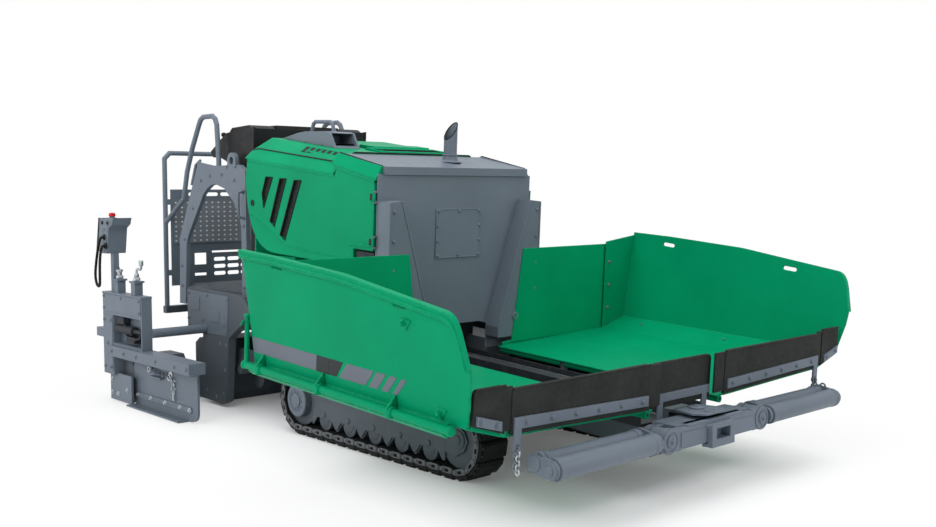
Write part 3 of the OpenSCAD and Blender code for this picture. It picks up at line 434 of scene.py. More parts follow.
SINGLE_LOOKS = (
    (DARK, ("main_frame", "track_frames", "platform", "auger_case", "tow_arms", "screed")),
    (BLACKISH, ("engine", "conveyor_deck")),
    (IRON, ("conveyor_chains",)),
    (GREEN, ("hood_top",)),
    (GREEN_IN, ("hopper_rear_walls",)),
    (RUBBER, ("centre_apron",)),
    (PLASTIC, ("operator_desk",)),
    (GREY, ("centre_strip", "hood_front", "hood_lid", "exhaust", "intake_hump")),
    (GREY, ("arches", "handrails", "backrest", "push_beam")),
)
PAIR_LOOKS = (
    (PAD, ("track",)),
    (GREEN, ("wing", "door")),
    (RUBBER, ("wing_flap",)),
    (GREY, ("apron_strip", "push_arm", "push_roller", "end_gate", "side_console")),
    (DARK, ("screed_ext", "auger")),
    (PLASTIC, ("console_cable",)),
)


def dress(node, mat):
    """Give a CAD node its material."""
    data = NODES[node].data
    data.materials.clear()
    data.materials.append(mat)


for mat, names in SINGLE_LOOKS:
    for name in names:
        dress(name, mat)
for mat, names in PAIR_LOOKS:
    for name in names:
        for side, _ in SIDES:
            dress(name + "_" + side, mat)


# Camera at the photograph's angle

YAW, DOWN, FOCAL_PX, WIDTH_PX = 137.267, 3.979, 1064.67, 936
SENSOR_MM = 36.0
cam_data = bpy.data.cameras.new("camera")
cam_data.sensor_width = SENSOR_MM
cam_data.lens = SENSOR_MM * FOCAL_PX / WIDTH_PX
cam_data.clip_end = 200.0
cam = bpy.data.objects.new("camera", cam_data)
bpy.context.scene.collection.objects.link(cam)
cam.location = (4.955, -4.162, 1.440)
yaw, down = math.radians(YAW), math.radians(DOWN)
look = Vector((math.cos(yaw) * math.cos(down), math.sin(yaw) * math.cos(down), -math.sin(down)))
cam.rotation_mode = "QUATERNION"
cam.rotation_quaternion = look.to_track_quat("-Z", "Y")
bpy.context.scene.camera = cam


# Free cords: the cables that hang in a loop under the side consoles

CABLE_R = 9.0
CABLE_ROUTE = [
    (-1960, 1108, 1120), (-1960, 1120, 1120), (-1966, 1130, 1108), (-1976, 1134, 1080),
    (-1992, 1136, 1040), (-2010, 1136, 990), (-2026, 1136, 940), (-2038, 1136, 890),
    (-2044, 1134, 850), (-2044, 1130, 816), (-2034, 1127, 794), (-2016, 1126, 786),
    (-1998, 1127, 794), (-1986, 1130, 816), (-1980, 1132, 850), (-1974, 1134, 900),
    (-1966, 1136, 950), (-1956, 1136, 1000), (-1946, 1134, 1036), (-1940, 1129, 1056),
    (-1940, 1120, 1062), (-1940, 1108, 1062),
]


def smooth_route(pts, per=4):
    """Catmull-Rom points through a route, ends kept."""
    pts = [Vector(p) for p in pts]
    last = len(pts) - 1
    out = []
    for i in range(last):
        p0, p1, p2, p3 = pts[max(i - 1, 0)], pts[i], pts[i + 1], pts[min(i + 2, last)]
        for k in range(per):
            t = k / per
            out.append(0.5 * ((2 * p1) + (p2 - p0) * t + (2 * p0 - 5 * p1 + 4 * p2 - p3) * t * t
                              + (3 * p1 - p0 - 3 * p2 + p3) * t ** 3))
    out.append(pts[last])
    return out


for side, k in SIDES:
    route = smooth_route(CABLE_ROUTE)
    skin = Shape(pitched=False).tube(route, CABLE_R, 12)
    cable = skin.done("cable_" + side, "extension_" + side, PLASTIC, k, bevel=0, slot="rubber")
    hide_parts("console_cable_" + side)


# Folding wings: stripe, lugs, collars, rim bead, bolts, chain links and flap edges

WING_X = (415, 1950)
WALL_FOOT = (1410, 618)
WALL_LEAN = math.radians(8.5)
WALL_OUT = Vector((0, math.cos(WALL_LEAN), -math.sin(WALL_LEAN)))
WALL_UP = Vector((0, math.sin(WALL_LEAN), math.cos(WALL_LEAN)))
SHEET = 8
RIM_T = 20
STRIPE_LOW, STRIPE_HIGH, STRIPE_T = 55, 132, 1.2
STRIPE_SLANT = 62
FLAP_T, STRIP_T = 16, 9
STRIP_FRONT_X = WING_X[1] + FLAP_T + STRIP_T
# start y, start z, run and rise of the bolt rows on the two strips
STRIP_ROW = (317, 583, 864, 26)
OUTER_STRIP_ROW = (1251, 608, 137, 40)
EDGE_TUBE_Y, EDGE_TUBE_Z = 1450, 603
LATCH_X = 391
CHAIN_X, CHAIN_Y, CHAIN_TOP_Z, CHAIN_STEP = 1979, 1160, 484, 19
CHAIN_HALF_W, CHAIN_HALF_H, CHAIN_WIRE_R = 9.5, 13, 4.2
FLAP_EDGE_X = 1967
FLAP_FILL_X = (1952, 1962)


def on_wall(x, h, out=0.0):
    """Point on the outer face of a side wall: x along it, h up it."""
    return Vector((x, WALL_FOOT[0], WALL_FOOT[1])) + WALL_UP * h + WALL_OUT * (SHEET + out)


def on_row(y, row):
    """Height of a bolt row at y."""
    y0, z0, run, rise = row
    return z0 + rise * (y - y0) / run


def stripe(shape, x0, x1, slant0, slant1):
    """One painted field of the stripe; slants lean its two ends."""
    low = [on_wall(x0, STRIPE_LOW), on_wall(x1, STRIPE_LOW)]
    high = [on_wall(x1 + slant1, STRIPE_HIGH), on_wall(x0 + slant0, STRIPE_HIGH)]
    shape.slab(low + high, WALL_OUT, STRIPE_T)


def wing_stripe(side, k):
    body = "wing_" + side
    grey, dark = pitched_shapes(2)
    stripe(grey, WING_X[0] + 4, 948, 0, 18)
    stripe(dark, 950, 1040, 18, 26)
    stripe(dark, 1042, 1104, 26, STRIPE_SLANT)
    stripe(grey, 1123, 1314, STRIPE_SLANT + 10, STRIPE_SLANT + 12)
    for x0, x1 in ((1336, 1398), (1424, 1470), (1500, 1532)):
        stripe(grey, x0, x1, STRIPE_SLANT + 8, STRIPE_SLANT + 8)
    grey.done("stripe_" + side, body, STRIPE, k, bevel=0)
    dark.done("stripe_field_" + side, body, STRIPE_DARK, k, bevel=0)


def wing_fittings(side, k):
    green = Shape()
    for x, h in ((1631, 381), (1808, 41)):
        green.lathe(on_wall(x, h), WALL_OUT, [(19, -2), (19, 4), (13, 7), (10, 26), (7, 31)])
        green.slab([on_wall(x - 34, h + 14), on_wall(x + 34, h + 14), on_wall(x, h - 34)], WALL_OUT, 3)
    # collars and end caps of the edge tube
    for x in (505, 1000, 1515):
        green.lathe((x - 14, EDGE_TUBE_Y, EDGE_TUBE_Z), FRONT, [(19, 0), (27, 4), (27, 38), (19, 42)])
    cap = [(12, 0), (22, 3), (22, 16), (18.5, 18)]
    for x, step in ((370, 1), (1900, -1)):
        green.lathe((x - 3 * step, EDGE_TUBE_Y, EDGE_TUBE_Z), (step, 0, 0), cap)
    # knob and handle of the latch rod
    green.lathe((LATCH_X, EDGE_TUBE_Y, 838), UP, [(12.5, 0), (17, 4), (17, 16), (9, 20)])
    handle = ((0, 820), (26, 822), (34, 800))
    green.tube([(LATCH_X, EDGE_TUBE_Y + out, z) for out, z in handle], 6)
    # bead along the rim and down its front corner
    rim = [(428, 543), (715, 538), (1247, 515), (1613, 473), (1878, 443)]
    rim = [on_wall(x, h, RIM_T) for x, h in rim]
    rim += arc(on_wall(1890, 441, RIM_T), on_wall(1940, 432, RIM_T), on_wall(1957, 374, RIM_T), 6)
    green.tube(rim + [on_wall(1987, 250, RIM_T)], 6, 10)
    green.done("wing_fittings_" + side, "wing_" + side, GREEN, k)


def wing_bolts(side, k):
    bolts = Shape()
    for i in range(6):
        y = 360 + 150 * i
        bolts.bolt((STRIP_FRONT_X, y, on_row(y, STRIP_ROW)), FRONT)
    for y in (1276, 1362):
        bolts.bolt((STRIP_FRONT_X, y, on_row(y, OUTER_STRIP_ROW)), FRONT)
    for z in (690, 840, 990):
        bolts.bolt((WING_X[0] + 10, 1236, z), FRONT, 8)
    for x in (640, 1270, 1760):
        bolts.rivet((x, 1330, 598), UP, 9, 5)
    bolts.done("wing_bolts_" + side, "wing_" + side, GREY, k, bevel=0)


def wing_chain(side, k):
    """Galvanised links over the hanging chain, each turned against the one above it."""
    chain = Shape()
    for i in range(5):
        z = CHAIN_TOP_Z - CHAIN_STEP * i
        across = i % 2
        pts = []
        for t in turns(16):
            wide, tall = CHAIN_HALF_W * math.cos(t), CHAIN_HALF_H * math.sin(t)
            pts.append((CHAIN_X + (0 if across else wide), CHAIN_Y + (wide if across else 0), z + tall))
        chain.tube(pts, CHAIN_WIRE_R, 8, closed=True)
    chain.done("chain_links_" + side, "wing_" + side, ZINC, k, bevel=0)


def flap_edges(side, k):
    """Beads on the upper edges of the flap's sheets, and the sheet edges that overlap between them."""
    seam = Shape()
    seam.tube([(FLAP_EDGE_X, 300, 748), (FLAP_EDGE_X, 740, 750), (FLAP_EDGE_X, 1186, 750)], 5)
    seam.tube([(FLAP_EDGE_X, 1232, 770), (FLAP_EDGE_X, 1398, 770)], 5)
    rear, front = FLAP_FILL_X
    seam.box((rear, 1186, 582), (front, 1224, 762))
    seam.box((rear, 216, 548), (front, 298, 744))
    seam.done("flap_bead_" + side, "wing_" + side, RUBBER, k, bevel=0)


# Engine hood: seams, louvres, recess behind the lid, front plate, exhaust and scoop

HOOD_REAR_X, HOOD_REAR_Z, HOOD_FALL, HOOD_RUN = -989, 1720, 74, 876
CHAMFER_TOP = ((-1070, 541, 1641), (-990, 541, 1649), (-116, 541, 1590))
LID_EDGE = ((-108, 556, 1648), (283, 556, 1584))
LOUVRES, LOUVRE_X, LOUVRE_STEP, LOUVRE_W = 7, -570, 58, 44
# y and drop below the hood top, at the upper and lower end of a louvre
LOUVRE_TOP, LOUVRE_LOW = (466, -12), (512, -44)
HOOD_FRONT_X = 300
GUSSET_X = 400
COVER_FRAME = (
    ((-169, 1060), (-160, 1348)), ((172, 1060), (181, 1348)),
    ((-160, 1060), (172, 1069)), ((-160, 1339), (172, 1348)),
)
EXHAUST = (100, 100)
SCOOP_Y = -300


def on_hood(x, y, up=0.0):
    """Point over the flat hood top."""
    return (x, y, HOOD_REAR_Z - (x - HOOD_REAR_X) * HOOD_FALL / HOOD_RUN + up)


def hood_outline(x0, x1, y0, y1, up=0.0):
    """Rectangle that lies on the hood top."""
    return [on_hood(x, y, up) for x, y in ((x0, y0), (x1, y0), (x1, y1), (x0, y1))]


def louvre(dark, green, x, y):
    """Slit in the chamfer beside the hood top, shown as a sheet of painted shade, with a rib on each side;
    y is 1 left, -1 right.
    """
    far = x + LOUVRE_W
    rib = far + 2
    top, low, far_top, far_low = [on_hood(at, y * half, drop)
                                  for at in (x, far) for half, drop in (LOUVRE_TOP, LOUVRE_LOW)]
    # painted shade: a dark sheet where the slit opens
    dark.slab([top, far_top, far_low, low], (0, y * 0.58, 0.81), 3)
    green.tube([top, low], 5, 8)
    green.tube([on_hood(rib, y * 464, -9), on_hood(rib, y * 514, -44)], 5, 8)


def hood_top_pieces():
    seam, green, dark = pitched_shapes(3)
    for y in (1, -1):
        seam.tube([(x, y * v, z) for x, v, z in CHAMFER_TOP], 4.5)
        seam.tube([(x, y * v, z) for x, v, z in LID_EDGE], 4.0)
        for i in range(LOUVRES):
            louvre(dark, green, LOUVRE_X + LOUVRE_STEP * i, y)
    seam.tube([(-114, -540, 1597), (-112, -450, 1650), (-112, 450, 1650), (-114, 540, 1597)], 4.5)
    # recess behind the lid with its bars, frame and raised cowl; its floor is a dark sheet of painted shade
    dark.slab(hood_outline(-340, -150, -185, 340), (0.08, 0, 1), 2.5)
    for i in range(9):
        x = -325 + 20 * i
        foot, top = on_hood(x, -180, 1), on_hood(x, 335, 9)
        dark.box(foot, (x + 7, top[1], top[2]))
    green.tube(hood_outline(-345, -146, -190, 345, up=4), 11, 10, closed=True)
    cowl = [on_hood(x, 0, up) for x, up in ((-520, 0), (-350, 0), (-365, 22), (-500, 20))]
    green.prism([(x, z) for x, _, z in cowl], "y", -120, 330)
    green.done("hood_cowl", "tractor", GREEN, bevel=3)
    dark.done("hood_vents", "tractor", VENT_BLACK_AND_SHADE, bevel=0)
    seam.done("hood_seams", "tractor", PLASTIC, bevel=0)


def hood_front_pieces():
    grey, bolts = pitched_shapes(2)
    # lid lip, collar of the exhaust and frame of the front plate's cover
    lip_x = HOOD_FRONT_X + 9
    grey.prism([(HOOD_FRONT_X, 1536), (lip_x, 1536), (lip_x, 1582), (HOOD_FRONT_X, 1582)], "y", -552, 552)
    side_lip = [(-104, 1604), (HOOD_FRONT_X, 1540), (HOOD_FRONT_X, 1583), (-104, 1645)]
    for y in (-552, 540):
        grey.prism(side_lip, "y", y, y + 12)
    grey.lathe((*EXHAUST, 1608), UP, [(70, 0), (70, 5), (56, 8), (46, 16), (44, 34)], 32)
    grey.ring((*EXHAUST, 1652), UP, 42, 4)
    for low, high in COVER_FRAME:
        grey.box((HOOD_FRONT_X, *low), (HOOD_FRONT_X + 3, *high))
    # folded edges, pivot bosses and bolts of the gussets
    fold_x = (GUSSET_X - 2, GUSSET_X + 4)
    for y in (-1, 1):
        grey.prism([(y * 588, 1390), (y * 578, 1390), (y * 578, 650), (y * 588, 640)], "x", *fold_x)
        grey.prism([(y * 497, 1398), (y * 509, 1398), (y * 269, 640), (y * 257, 640)], "x", *fold_x)
        grey.lathe((GUSSET_X, y * 400, 700), FRONT, [(24, 0), (24, 7), (20, 9), (13, 9), (13, 5)])
        for z in (1340, 1180, 1020, 860):
            bolts.bolt((GUSSET_X, y * 556, z), FRONT, 8)
    grey.done("hood_front_fittings", "tractor", GREY)
    # bolts round the cover
    for y in (-152, 6, 164):
        for z in (1076, 1332):
            bolts.bolt((HOOD_FRONT_X + 1, y, z), FRONT, 7, 6)
    for z in (1162, 1246):
        for y in (-158, 170):
            bolts.bolt((HOOD_FRONT_X + 1, y, z), FRONT, 7, 6)
    bolts.done("hood_front_bolts", "tractor", GREY, bevel=0)


def exhaust_pieces():
    mouth, rim = pitched_shapes(2)
    # dark cup and ring inside the pipe: painted shade of its depth
    mouth.lathe((*EXHAUST, 1690), UP, [(35.2, 0), (35.2, 40), (30, 40), (30, 8), (12, 6)], 28)
    mouth.ring((*EXHAUST, 1736), UP, 32, 3)
    mouth.done("exhaust_inside", "tractor", HOLE_SHADE, bevel=0)
    # the pipe is cut at a slant, so its rim rises towards the left
    x, y = EXHAUST
    slant = [(x + 38 * math.cos(t), y + 38 * math.sin(t), 1794 + 52 * math.sin(t)) for t in turns(28)]
    rim.tube(slant, 3.5, 8, closed=True)
    rim.done("exhaust_rim", "tractor", PLASTIC, bevel=0)


def scoop_pieces():
    """Mouth of the intake scoop dark with painted shade, feet of its handle and bolts of its flange."""
    inside, feet = pitched_shapes(2)
    # dark slab and side sheet in the mouth: painted shade of the scoop's inside
    inside.box((-572, SCOOP_Y - 76, 1696), (-420, SCOOP_Y + 76, 1699))
    mouth = [(-575, 1700), (-490, 1700), (-490, 1752), (-575, 1744)]
    inside.prism(mouth, "y", SCOOP_Y - 78, SCOOP_Y - 76)
    inside.done("scoop_inside", "tractor", HOLE_SHADE, bevel=0)
    for x, z in ((-764, 1756), (-530, 1768)):
        feet.lathe((x, SCOOP_Y, z - 6), UP, [(26, 0), (26, 5), (17, 9), (14, 16)])
    for x in (-880, -700, -520):
        for y in (SCOOP_Y - 98, SCOOP_Y + 98):
            feet.bolt(on_hood(x, y, 1), UP, 6, 5)
    feet.done("scoop_fittings", "tractor", GREY)


# Side doors: slot grilles, lips that cover the upper seam, crease and lock

DOOR_Y = 600
DOOR_SLOTS = (
    ((-817, 1476), (-741, 1479), (-837, 1286), (-856, 1376)),
    ((-659, 1474), (-590, 1477), (-714, 1177), (-762, 1206)),
    ((-503, 1470), (-430, 1474), (-595, 1103), (-647, 1131)),
)
SLAT_GAPS, SLAT_HALF_W, SLAT_LEAN = 9, 22, 0.42
DOOR_LIPS = (
    ((-1038, 1566), (-102, 1505), (-102, 1523), (-1038, 1588)),
    ((-74, 1548), (274, 1490), (274, 1506), (-74, 1570)),
)
DOOR_CREASE = ((-1010, 1240), (-883, 1197), (-606, 1080), (-300, 1058), (90, 1058))
WALL_LIP_X = 404


def door_pieces(side, k):
    body = "door_" + side
    fill, rims, green, lock = pitched_shapes(4)
    for slot_pts in DOOR_SLOTS:
        # dark fill in each slot: painted shade of the opening behind the slats
        fill.prism(slot_pts, "y", DOOR_Y - 26, DOOR_Y - 10)
        zs = [z for _, z in slot_pts]
        mid = sum(x for x, _ in slot_pts) / 4
        for i in range(1, SLAT_GAPS):
            z = min(zs) + (max(zs) - min(zs)) * i / SLAT_GAPS
            x = mid + (z - sum(zs) / 4) * SLAT_LEAN
            rear, front = x - SLAT_HALF_W, x + SLAT_HALF_W
            slat = [(rear, z - 4), (front, z - 4), (front, z + 2), (rear, z + 2)]
            fill.prism(slat, "y", DOOR_Y - 14, DOOR_Y - 6)
        rims.tube([(x, DOOR_Y - 1, z) for x, z in slot_pts], 6, 8, closed=True)
    fill.done("door_grille_" + side, body, VENT_BLACK_AND_SHADE, k, bevel=0)
    rims.done("door_rims_" + side, body, VENT_BLACK_AND_SHADE, k, bevel=0)
    for lip in DOOR_LIPS:
        green.prism(lip, "y", DOOR_Y - 1, DOOR_Y + 1.5)
    green.tube([(x, DOOR_Y, z) for x, z in DOOR_CREASE], 3.5, 8)
    green.prism([(60, 1150), (262, 1150), (262, 1138), (60, 1128)], "y", DOOR_Y - 1, DOOR_Y + 3)
    green.done("door_panels_" + side, body, GREEN, k, bevel=1)
    lock.lathe((-968, DOOR_Y, 1308), OUT, [(20, 0), (20, 4), (14, 6), (14, 3), (6, 3)])
    for z in (1145, 1392):
        lock.box((247, DOOR_Y + 2, z + 4), (276, DOOR_Y + 9, z + 40))
    lock.done("door_lock_" + side, body, PLASTIC, k)


def beside_door_pieces(side, k):
    """Stop behind the door, and the lip that closes the rear wall's foot against the wing floor."""
    stop, lip = pitched_shapes(2)
    stop.box((112, 560, 1034), (270, 588, 1106))
    stop.lathe((190, 588, 1070), OUT, [(22, 0), (22, 5), (12, 8)])
    stop.done("door_stop_" + side, "tractor", BLACKISH, k)
    plate = [(300, 492), (980, 540), (980, 566), (375, 552), (300, 546)]
    lip.prism(plate, "x", WALL_LIP_X - 8, WALL_LIP_X)
    lip.prism([(300, 492), (980, 540), (980, 546), (300, 498)], "x", WALL_LIP_X - 24, WALL_LIP_X)
    lip.done("wall_foot_" + side, "tractor", GREEN_IN, k)


# Tracks: links and pins on the outer side, guards over the lower rollers, drive drum

TRACK_R, PITCH_R, TRACK_BASE, SPROCKET_X, SHOES = 205, 175, 1370, -260, 38
LINK_R, PAD_BOLT_R = 157, 188
TRACK_Y = 700
GUARD_X, GUARD_Y = (-152, 1010), 668
ROLLERS, ROLLER_GAP, FIRST_ROLLER_X = 5, 230, -35
DRUM_BOLTS, DRUM_BOLT_R = 10, 53


def track_point(s, r):
    """Place on the loop at distance s, at radius r from the sprocket's axis, with the running direction."""
    turn = math.pi * PITCH_R
    if s < TRACK_BASE:
        return Vector((SPROCKET_X + s, 0, TRACK_R - r)), 0.0
    s -= TRACK_BASE
    if s < turn:
        a = s / PITCH_R
        return Vector((SPROCKET_X + TRACK_BASE + r * math.sin(a), 0, TRACK_R - r * math.cos(a))), a
    s -= turn
    if s < TRACK_BASE:
        return Vector((SPROCKET_X + TRACK_BASE - s, 0, TRACK_R + r)), math.pi
    a = math.pi + (s - TRACK_BASE) / PITCH_R
    return Vector((SPROCKET_X + r * math.sin(a), 0, TRACK_R - r * math.cos(a))), a


def track_chain(side, k):
    links, pins, treads, holes = level_shapes(4)
    step = (2 * TRACK_BASE + 2 * math.pi * PITCH_R) / SHOES
    half = step * 0.49
    link = ((-half, -9), (-half * 0.55, -16), (half * 0.55, -16), (half, -9),
            (half, 9), (half * 0.6, 15), (-half * 0.6, 15), (-half, 9))
    window = ((-13, -7), (13, -7), (13, 8), (-13, 8))
    for i in range(SHOES):
        c, a = track_point(i * step, LINK_R)
        along, out = Vector((math.cos(a), 0, math.sin(a))), Vector((math.sin(a), 0, -math.cos(a)))
        link_pts = [c + along * u + out * v for u, v in link]
        links.prism([(p.x, p.z) for p in link_pts], "y", TRACK_Y - 2, TRACK_Y + 5)
        # dark windows in the links: painted shade of the openings
        window_pts = [c + along * u + out * v for u, v in window]
        holes.prism([(p.x, p.z) for p in window_pts], "y", TRACK_Y + 3, TRACK_Y + 5.6)
        for u in (-half * 0.68, half * 0.68):
            p = c + along * u
            pins.lathe((p.x, TRACK_Y + 4, p.z), OUT, [(11, 0), (11, 4), (8, 6), (4, 6)], 12)
        # bolt heads on the pad's end
        q, _ = track_point(i * step, PAD_BOLT_R)
        for u in (-20, 20):
            p = q + along * u
            treads.rivet((p.x, TRACK_Y - 13, p.z), OUT, 6, 4)
    links.done("track_links_" + side, "tractor", IRON, k, bevel=0.8)
    holes.done("track_windows_" + side, "tractor", HOLE_SHADE, k, bevel=0)
    pins.done("track_pins_" + side, "tractor", IRON, k, bevel=0)
    treads.done("track_bolts_" + side, "tractor", IRON, k, bevel=0)


def roller_guard(side, k):
    """Guard over the upper halves of the lower rollers, with a fin between each two."""
    guard = Shape(pitched=False)
    rear, front = GUARD_X
    rollers = [FIRST_ROLLER_X + ROLLER_GAP * i for i in range(ROLLERS)]
    gaps = [FIRST_ROLLER_X - ROLLER_GAP // 2 + ROLLER_GAP * i for i in range(ROLLERS + 1)]
    edge = []
    for x in gaps:
        edge += [(x - 46, 128), (x - 10, 82), (x + 10, 82), (x + 46, 128)]
    edge = [(max(min(x, front), rear), z) for x, z in edge]
    guard.prism([(rear, 262)] + edge + [(front, 250)], "y", GUARD_Y, GUARD_Y + 8)
    for x in gaps[1:-1]:
        fin = [(x - 60, 128), (x + 60, 128), (x + 8, 70), (x - 8, 70)]
        guard.prism(fin, "y", GUARD_Y - 28, GUARD_Y)
    for x in rollers:
        guard.lathe((x, GUARD_Y + 8, 150), OUT, [(17, 0), (17, 4), (11, 7)])
        guard.lathe((x, GUARD_Y - 4, 121), OUT, [(34, 0), (34, 3), (22, 3.5)])
    guard.box((rear, GUARD_Y - 8, 236), (front, GUARD_Y + 14, 250))
    # fork and hub cover of the idler
    fork = [(1000, 128), (1090, 118), (1150, 150), (1176, 205), (1150, 252), (1090, 280), (1000, 262)]
    guard.prism(fork, "y", GUARD_Y, GUARD_Y + 7)
    hub = [(48, 0), (48, 6), (40, 9), (24, 9), (24, 14), (18, 16)]
    guard.lathe((SPROCKET_X + TRACK_BASE, GUARD_Y + 6, TRACK_R), OUT, hub, 32)
    # dark grey here is partly painted shade: the guard sits in shadow, darker than the grey drum beside it
    guard.done("roller_guard_" + side, "tractor", DARK, k)


def drive_drum(side, k):
    """Rings and bolts of the drive drum."""
    drum = Shape(pitched=False)
    rings = [(92, 0), (92, 5), (84, 8), (66, 8), (66, 4), (40, 4), (40, 12), (30, 15)]
    drum.lathe((SPROCKET_X, TRACK_Y + 9, TRACK_R), OUT, rings, 40)
    for t in turns(DRUM_BOLTS):
        x, z = SPROCKET_X + DRUM_BOLT_R * math.cos(t), TRACK_R + DRUM_BOLT_R * math.sin(t)
        drum.bolt((x, TRACK_Y + 12, z), OUT, 6, 5)
    drum.done("drive_drum_" + side, "tractor", GREY, k)


# Push bar: casting on the beam, hubs on the arms, skins on the rollers

ROLLER_X, ROLLER_Z = 2137, 330
ARM_PIVOT_Y, ARM_Y0, ROLLER_Y0, ARM_Y1 = 365, 431, 456, 1099
ROLLER_LEN = 640
ARM_BAR_X, ARM_BAR_Z = 2048, 344
BEAM_X = 2150


def push_beam_pieces():
    cast, pins = level_shapes(2)
    boss = [(57, 0), (57, 3), (50, 6), (44, 6), (44, 2), (30, 2), (30, 8), (24, 11)]
    for y in (-ARM_PIVOT_Y, ARM_PIVOT_Y):
        cast.lathe((BEAM_X + 12, y, ROLLER_Z), FRONT, boss, 32)
        pins.bolt((BEAM_X + 23, y, ROLLER_Z), FRONT, 11, 8)
    # ribs and lips round the tow pocket
    rib = [(BEAM_X, -104), (2172, -96), (2190, -62), (2190, 62), (2172, 96), (BEAM_X, 104)]
    for z in (262, 352):
        cast.prism(rib, "z", z, z + 14)
    for y in (-86, 72):
        cast.prism([(BEAM_X, 270), (2178, 276), (2178, 356), (BEAM_X, 362)], "y", y, y + 14)
    for y in (-290, 60):
        cast.prism([(y, 292), (y + 230, 286), (y + 230, 352), (y, 358)], "x", BEAM_X + 10, BEAM_X + 16)
    cast.prism(rounded(-230, 366, 230, 384, 8), "x", BEAM_X - 40, BEAM_X + 10)
    # tongue plate on top with its pin and an oval eye
    tongue = [(1990, -92), (2100, -120), (BEAM_X, -70), (BEAM_X, 70), (2100, 120), (1990, 92)]
    cast.prism(tongue, "z", 400, 410)
    eye = [(2118 + 16 * math.cos(t), 40 * math.sin(t), 412) for t in turns(24)]
    cast.tube(eye, 5, 8, closed=True)
    pins.lathe((2040, 0, 408), UP, [(36, 0), (36, 9), (30, 13), (14, 13), (14, 18), (8, 20)])
    cast.done("push_casting", "beam", GREY, bevel=3)
    pins.done("push_pins", "beam", GREY, bevel=0)


def push_arm_pieces(side, k):
    hub, roll = level_shapes(2)
    cap = [(38, 0), (38, 4), (30, 8), (22, 8), (22, 14), (16, 18)]
    hub.lathe((ROLLER_X, ARM_Y1 + 16, ROLLER_Z), OUT, cap)
    hub.lathe((ARM_BAR_X, ARM_Y1 + 16, ARM_BAR_Z), OUT, [(34, 0), (34, 3), (26, 5)])
    hub.ring((2075, ARM_Y1 + 8, 380), OUT, 15, 5)
    for y in (ARM_Y0 + 30, ARM_Y1 - 60):
        hub.lathe((ARM_BAR_X, y, ARM_BAR_Z), OUT, [(36, 0), (41, 4), (41, 26), (36, 30)])
    hub.done("push_hub_" + side, "arm_" + side, GREY, k)
    for y in (ROLLER_Y0 + 1, ROLLER_Y0 + ROLLER_LEN - 27):
        roll.lathe((ROLLER_X, y, ROLLER_Z), OUT, [(45, 0), (48.5, 3), (48.5, 23), (45, 26)], 36)
    skin_profile = [(45.9, 0), (46.3, 2), (46.3, 578), (45.9, 580)]
    roll.lathe((ROLLER_X, ROLLER_Y0 + 30, ROLLER_Z), OUT, skin_profile, 48)
    roll.done("roller_skin_" + side, "roller_" + side, GREY, k, bevel=0)


# Platform: arch bolts, grab loops, perforated panel, desk

ARCH_Y = 530
ARCH_BOLTS = (
    (-1130, 800), (-1130, 1000), (-1130, 1200), (-1130, 1420), (-1240, 1500), (-1400, 1540),
    (-1560, 1530), (-1680, 1500), (-1800, 1310), (-1930, 1090), (-1970, 900), (-1970, 760),
)
# distance outside the arch and height
FRONT_LOOP_X = -1115
FRONT_LOOP = ((6, 1250), (42, 1262), (46, 1290), (46, 1390), (42, 1418), (6, 1430))
# x, distance inside the arch and height
REAR_LOOP = ((-1740, 14, 1600), (-1760, 40, 1640), (-1830, 44, 1610), (-1850, 20, 1470))
PANEL_X, PANEL_HALF_W = -2126, 500
PANEL_Z = (1050, 1372)
PANEL_EDGE = 6


def arch_pieces():
    bolts, loops = level_shapes(2)
    for y, out in ((ARCH_Y, 1), (-ARCH_Y, -1)):
        for x, z in ARCH_BOLTS:
            bolts.bolt((x, y, z), (0, out, 0), 8)
        loops.tube([(FRONT_LOOP_X, y + off * out, z) for off, z in FRONT_LOOP], 9)
        loops.tube([(x, y - off * out, z) for x, off, z in REAR_LOOP], 10)
        for x in (-1330, -1220):
            bolts.bolt((x, y, 1590), (0, out, 0), 8)
    bolts.done("arch_bolts", "tractor", GREY, bevel=0)
    loops.done("grab_loops", "tractor", GREY, bevel=0)


def panel_pieces():
    """Perforated sheet in a narrow frame."""
    perf = Shape(pitched=False)
    low, high = PANEL_Z
    rear, front = PANEL_X - 4, PANEL_X + 4
    half = PANEL_HALF_W
    perf.box((PANEL_X - 2, -half, low), (PANEL_X + 2, half, high))
    for z in (low, high - PANEL_EDGE):
        perf.box((rear, -half - PANEL_EDGE, z), (front, half + PANEL_EDGE, z + PANEL_EDGE))
    for y in (-half - PANEL_EDGE, half):
        perf.box((rear, y, low + PANEL_EDGE), (front, y + PANEL_EDGE, high - PANEL_EDGE))
    perf.done("perforated_panel", "tractor", PERF, bevel=0)


def desk_pieces():
    """Screen hoods, levers and side cheeks of the desk."""
    desk = Shape(pitched=False)
    hood = [(-1140, 1836), (-1190, 1862), (-1400, 1852), (-1452, 1810)]
    for y0, y1 in ((262, 448), (-448, -262)):
        desk.prism(hood, "y", y0, y1)
    for y in (-400, -250, 0, 250, 400):
        desk.rod((-1560, y, 1750), (-1585, y, 1805), 7)
        desk.lathe((-1585, y, 1800), (-0.4, 0, 1), [(8, 0), (17, 8), (17, 24), (9, 30)])
    cheek = [(-1120, 1590), (-1105, 1846), (-1458, 1820), (-1546, 1774),
             (-1672, 1700), (-1640, 1660), (-1529, 1652), (-1300, 1572)]
    for y in (-458, 446):
        desk.prism(cheek, "y", y, y + 12)
    desk.done("desk_fittings", "tractor", PLASTIC, bevel=3)


# Screed side: tow arm covers, end gate, console

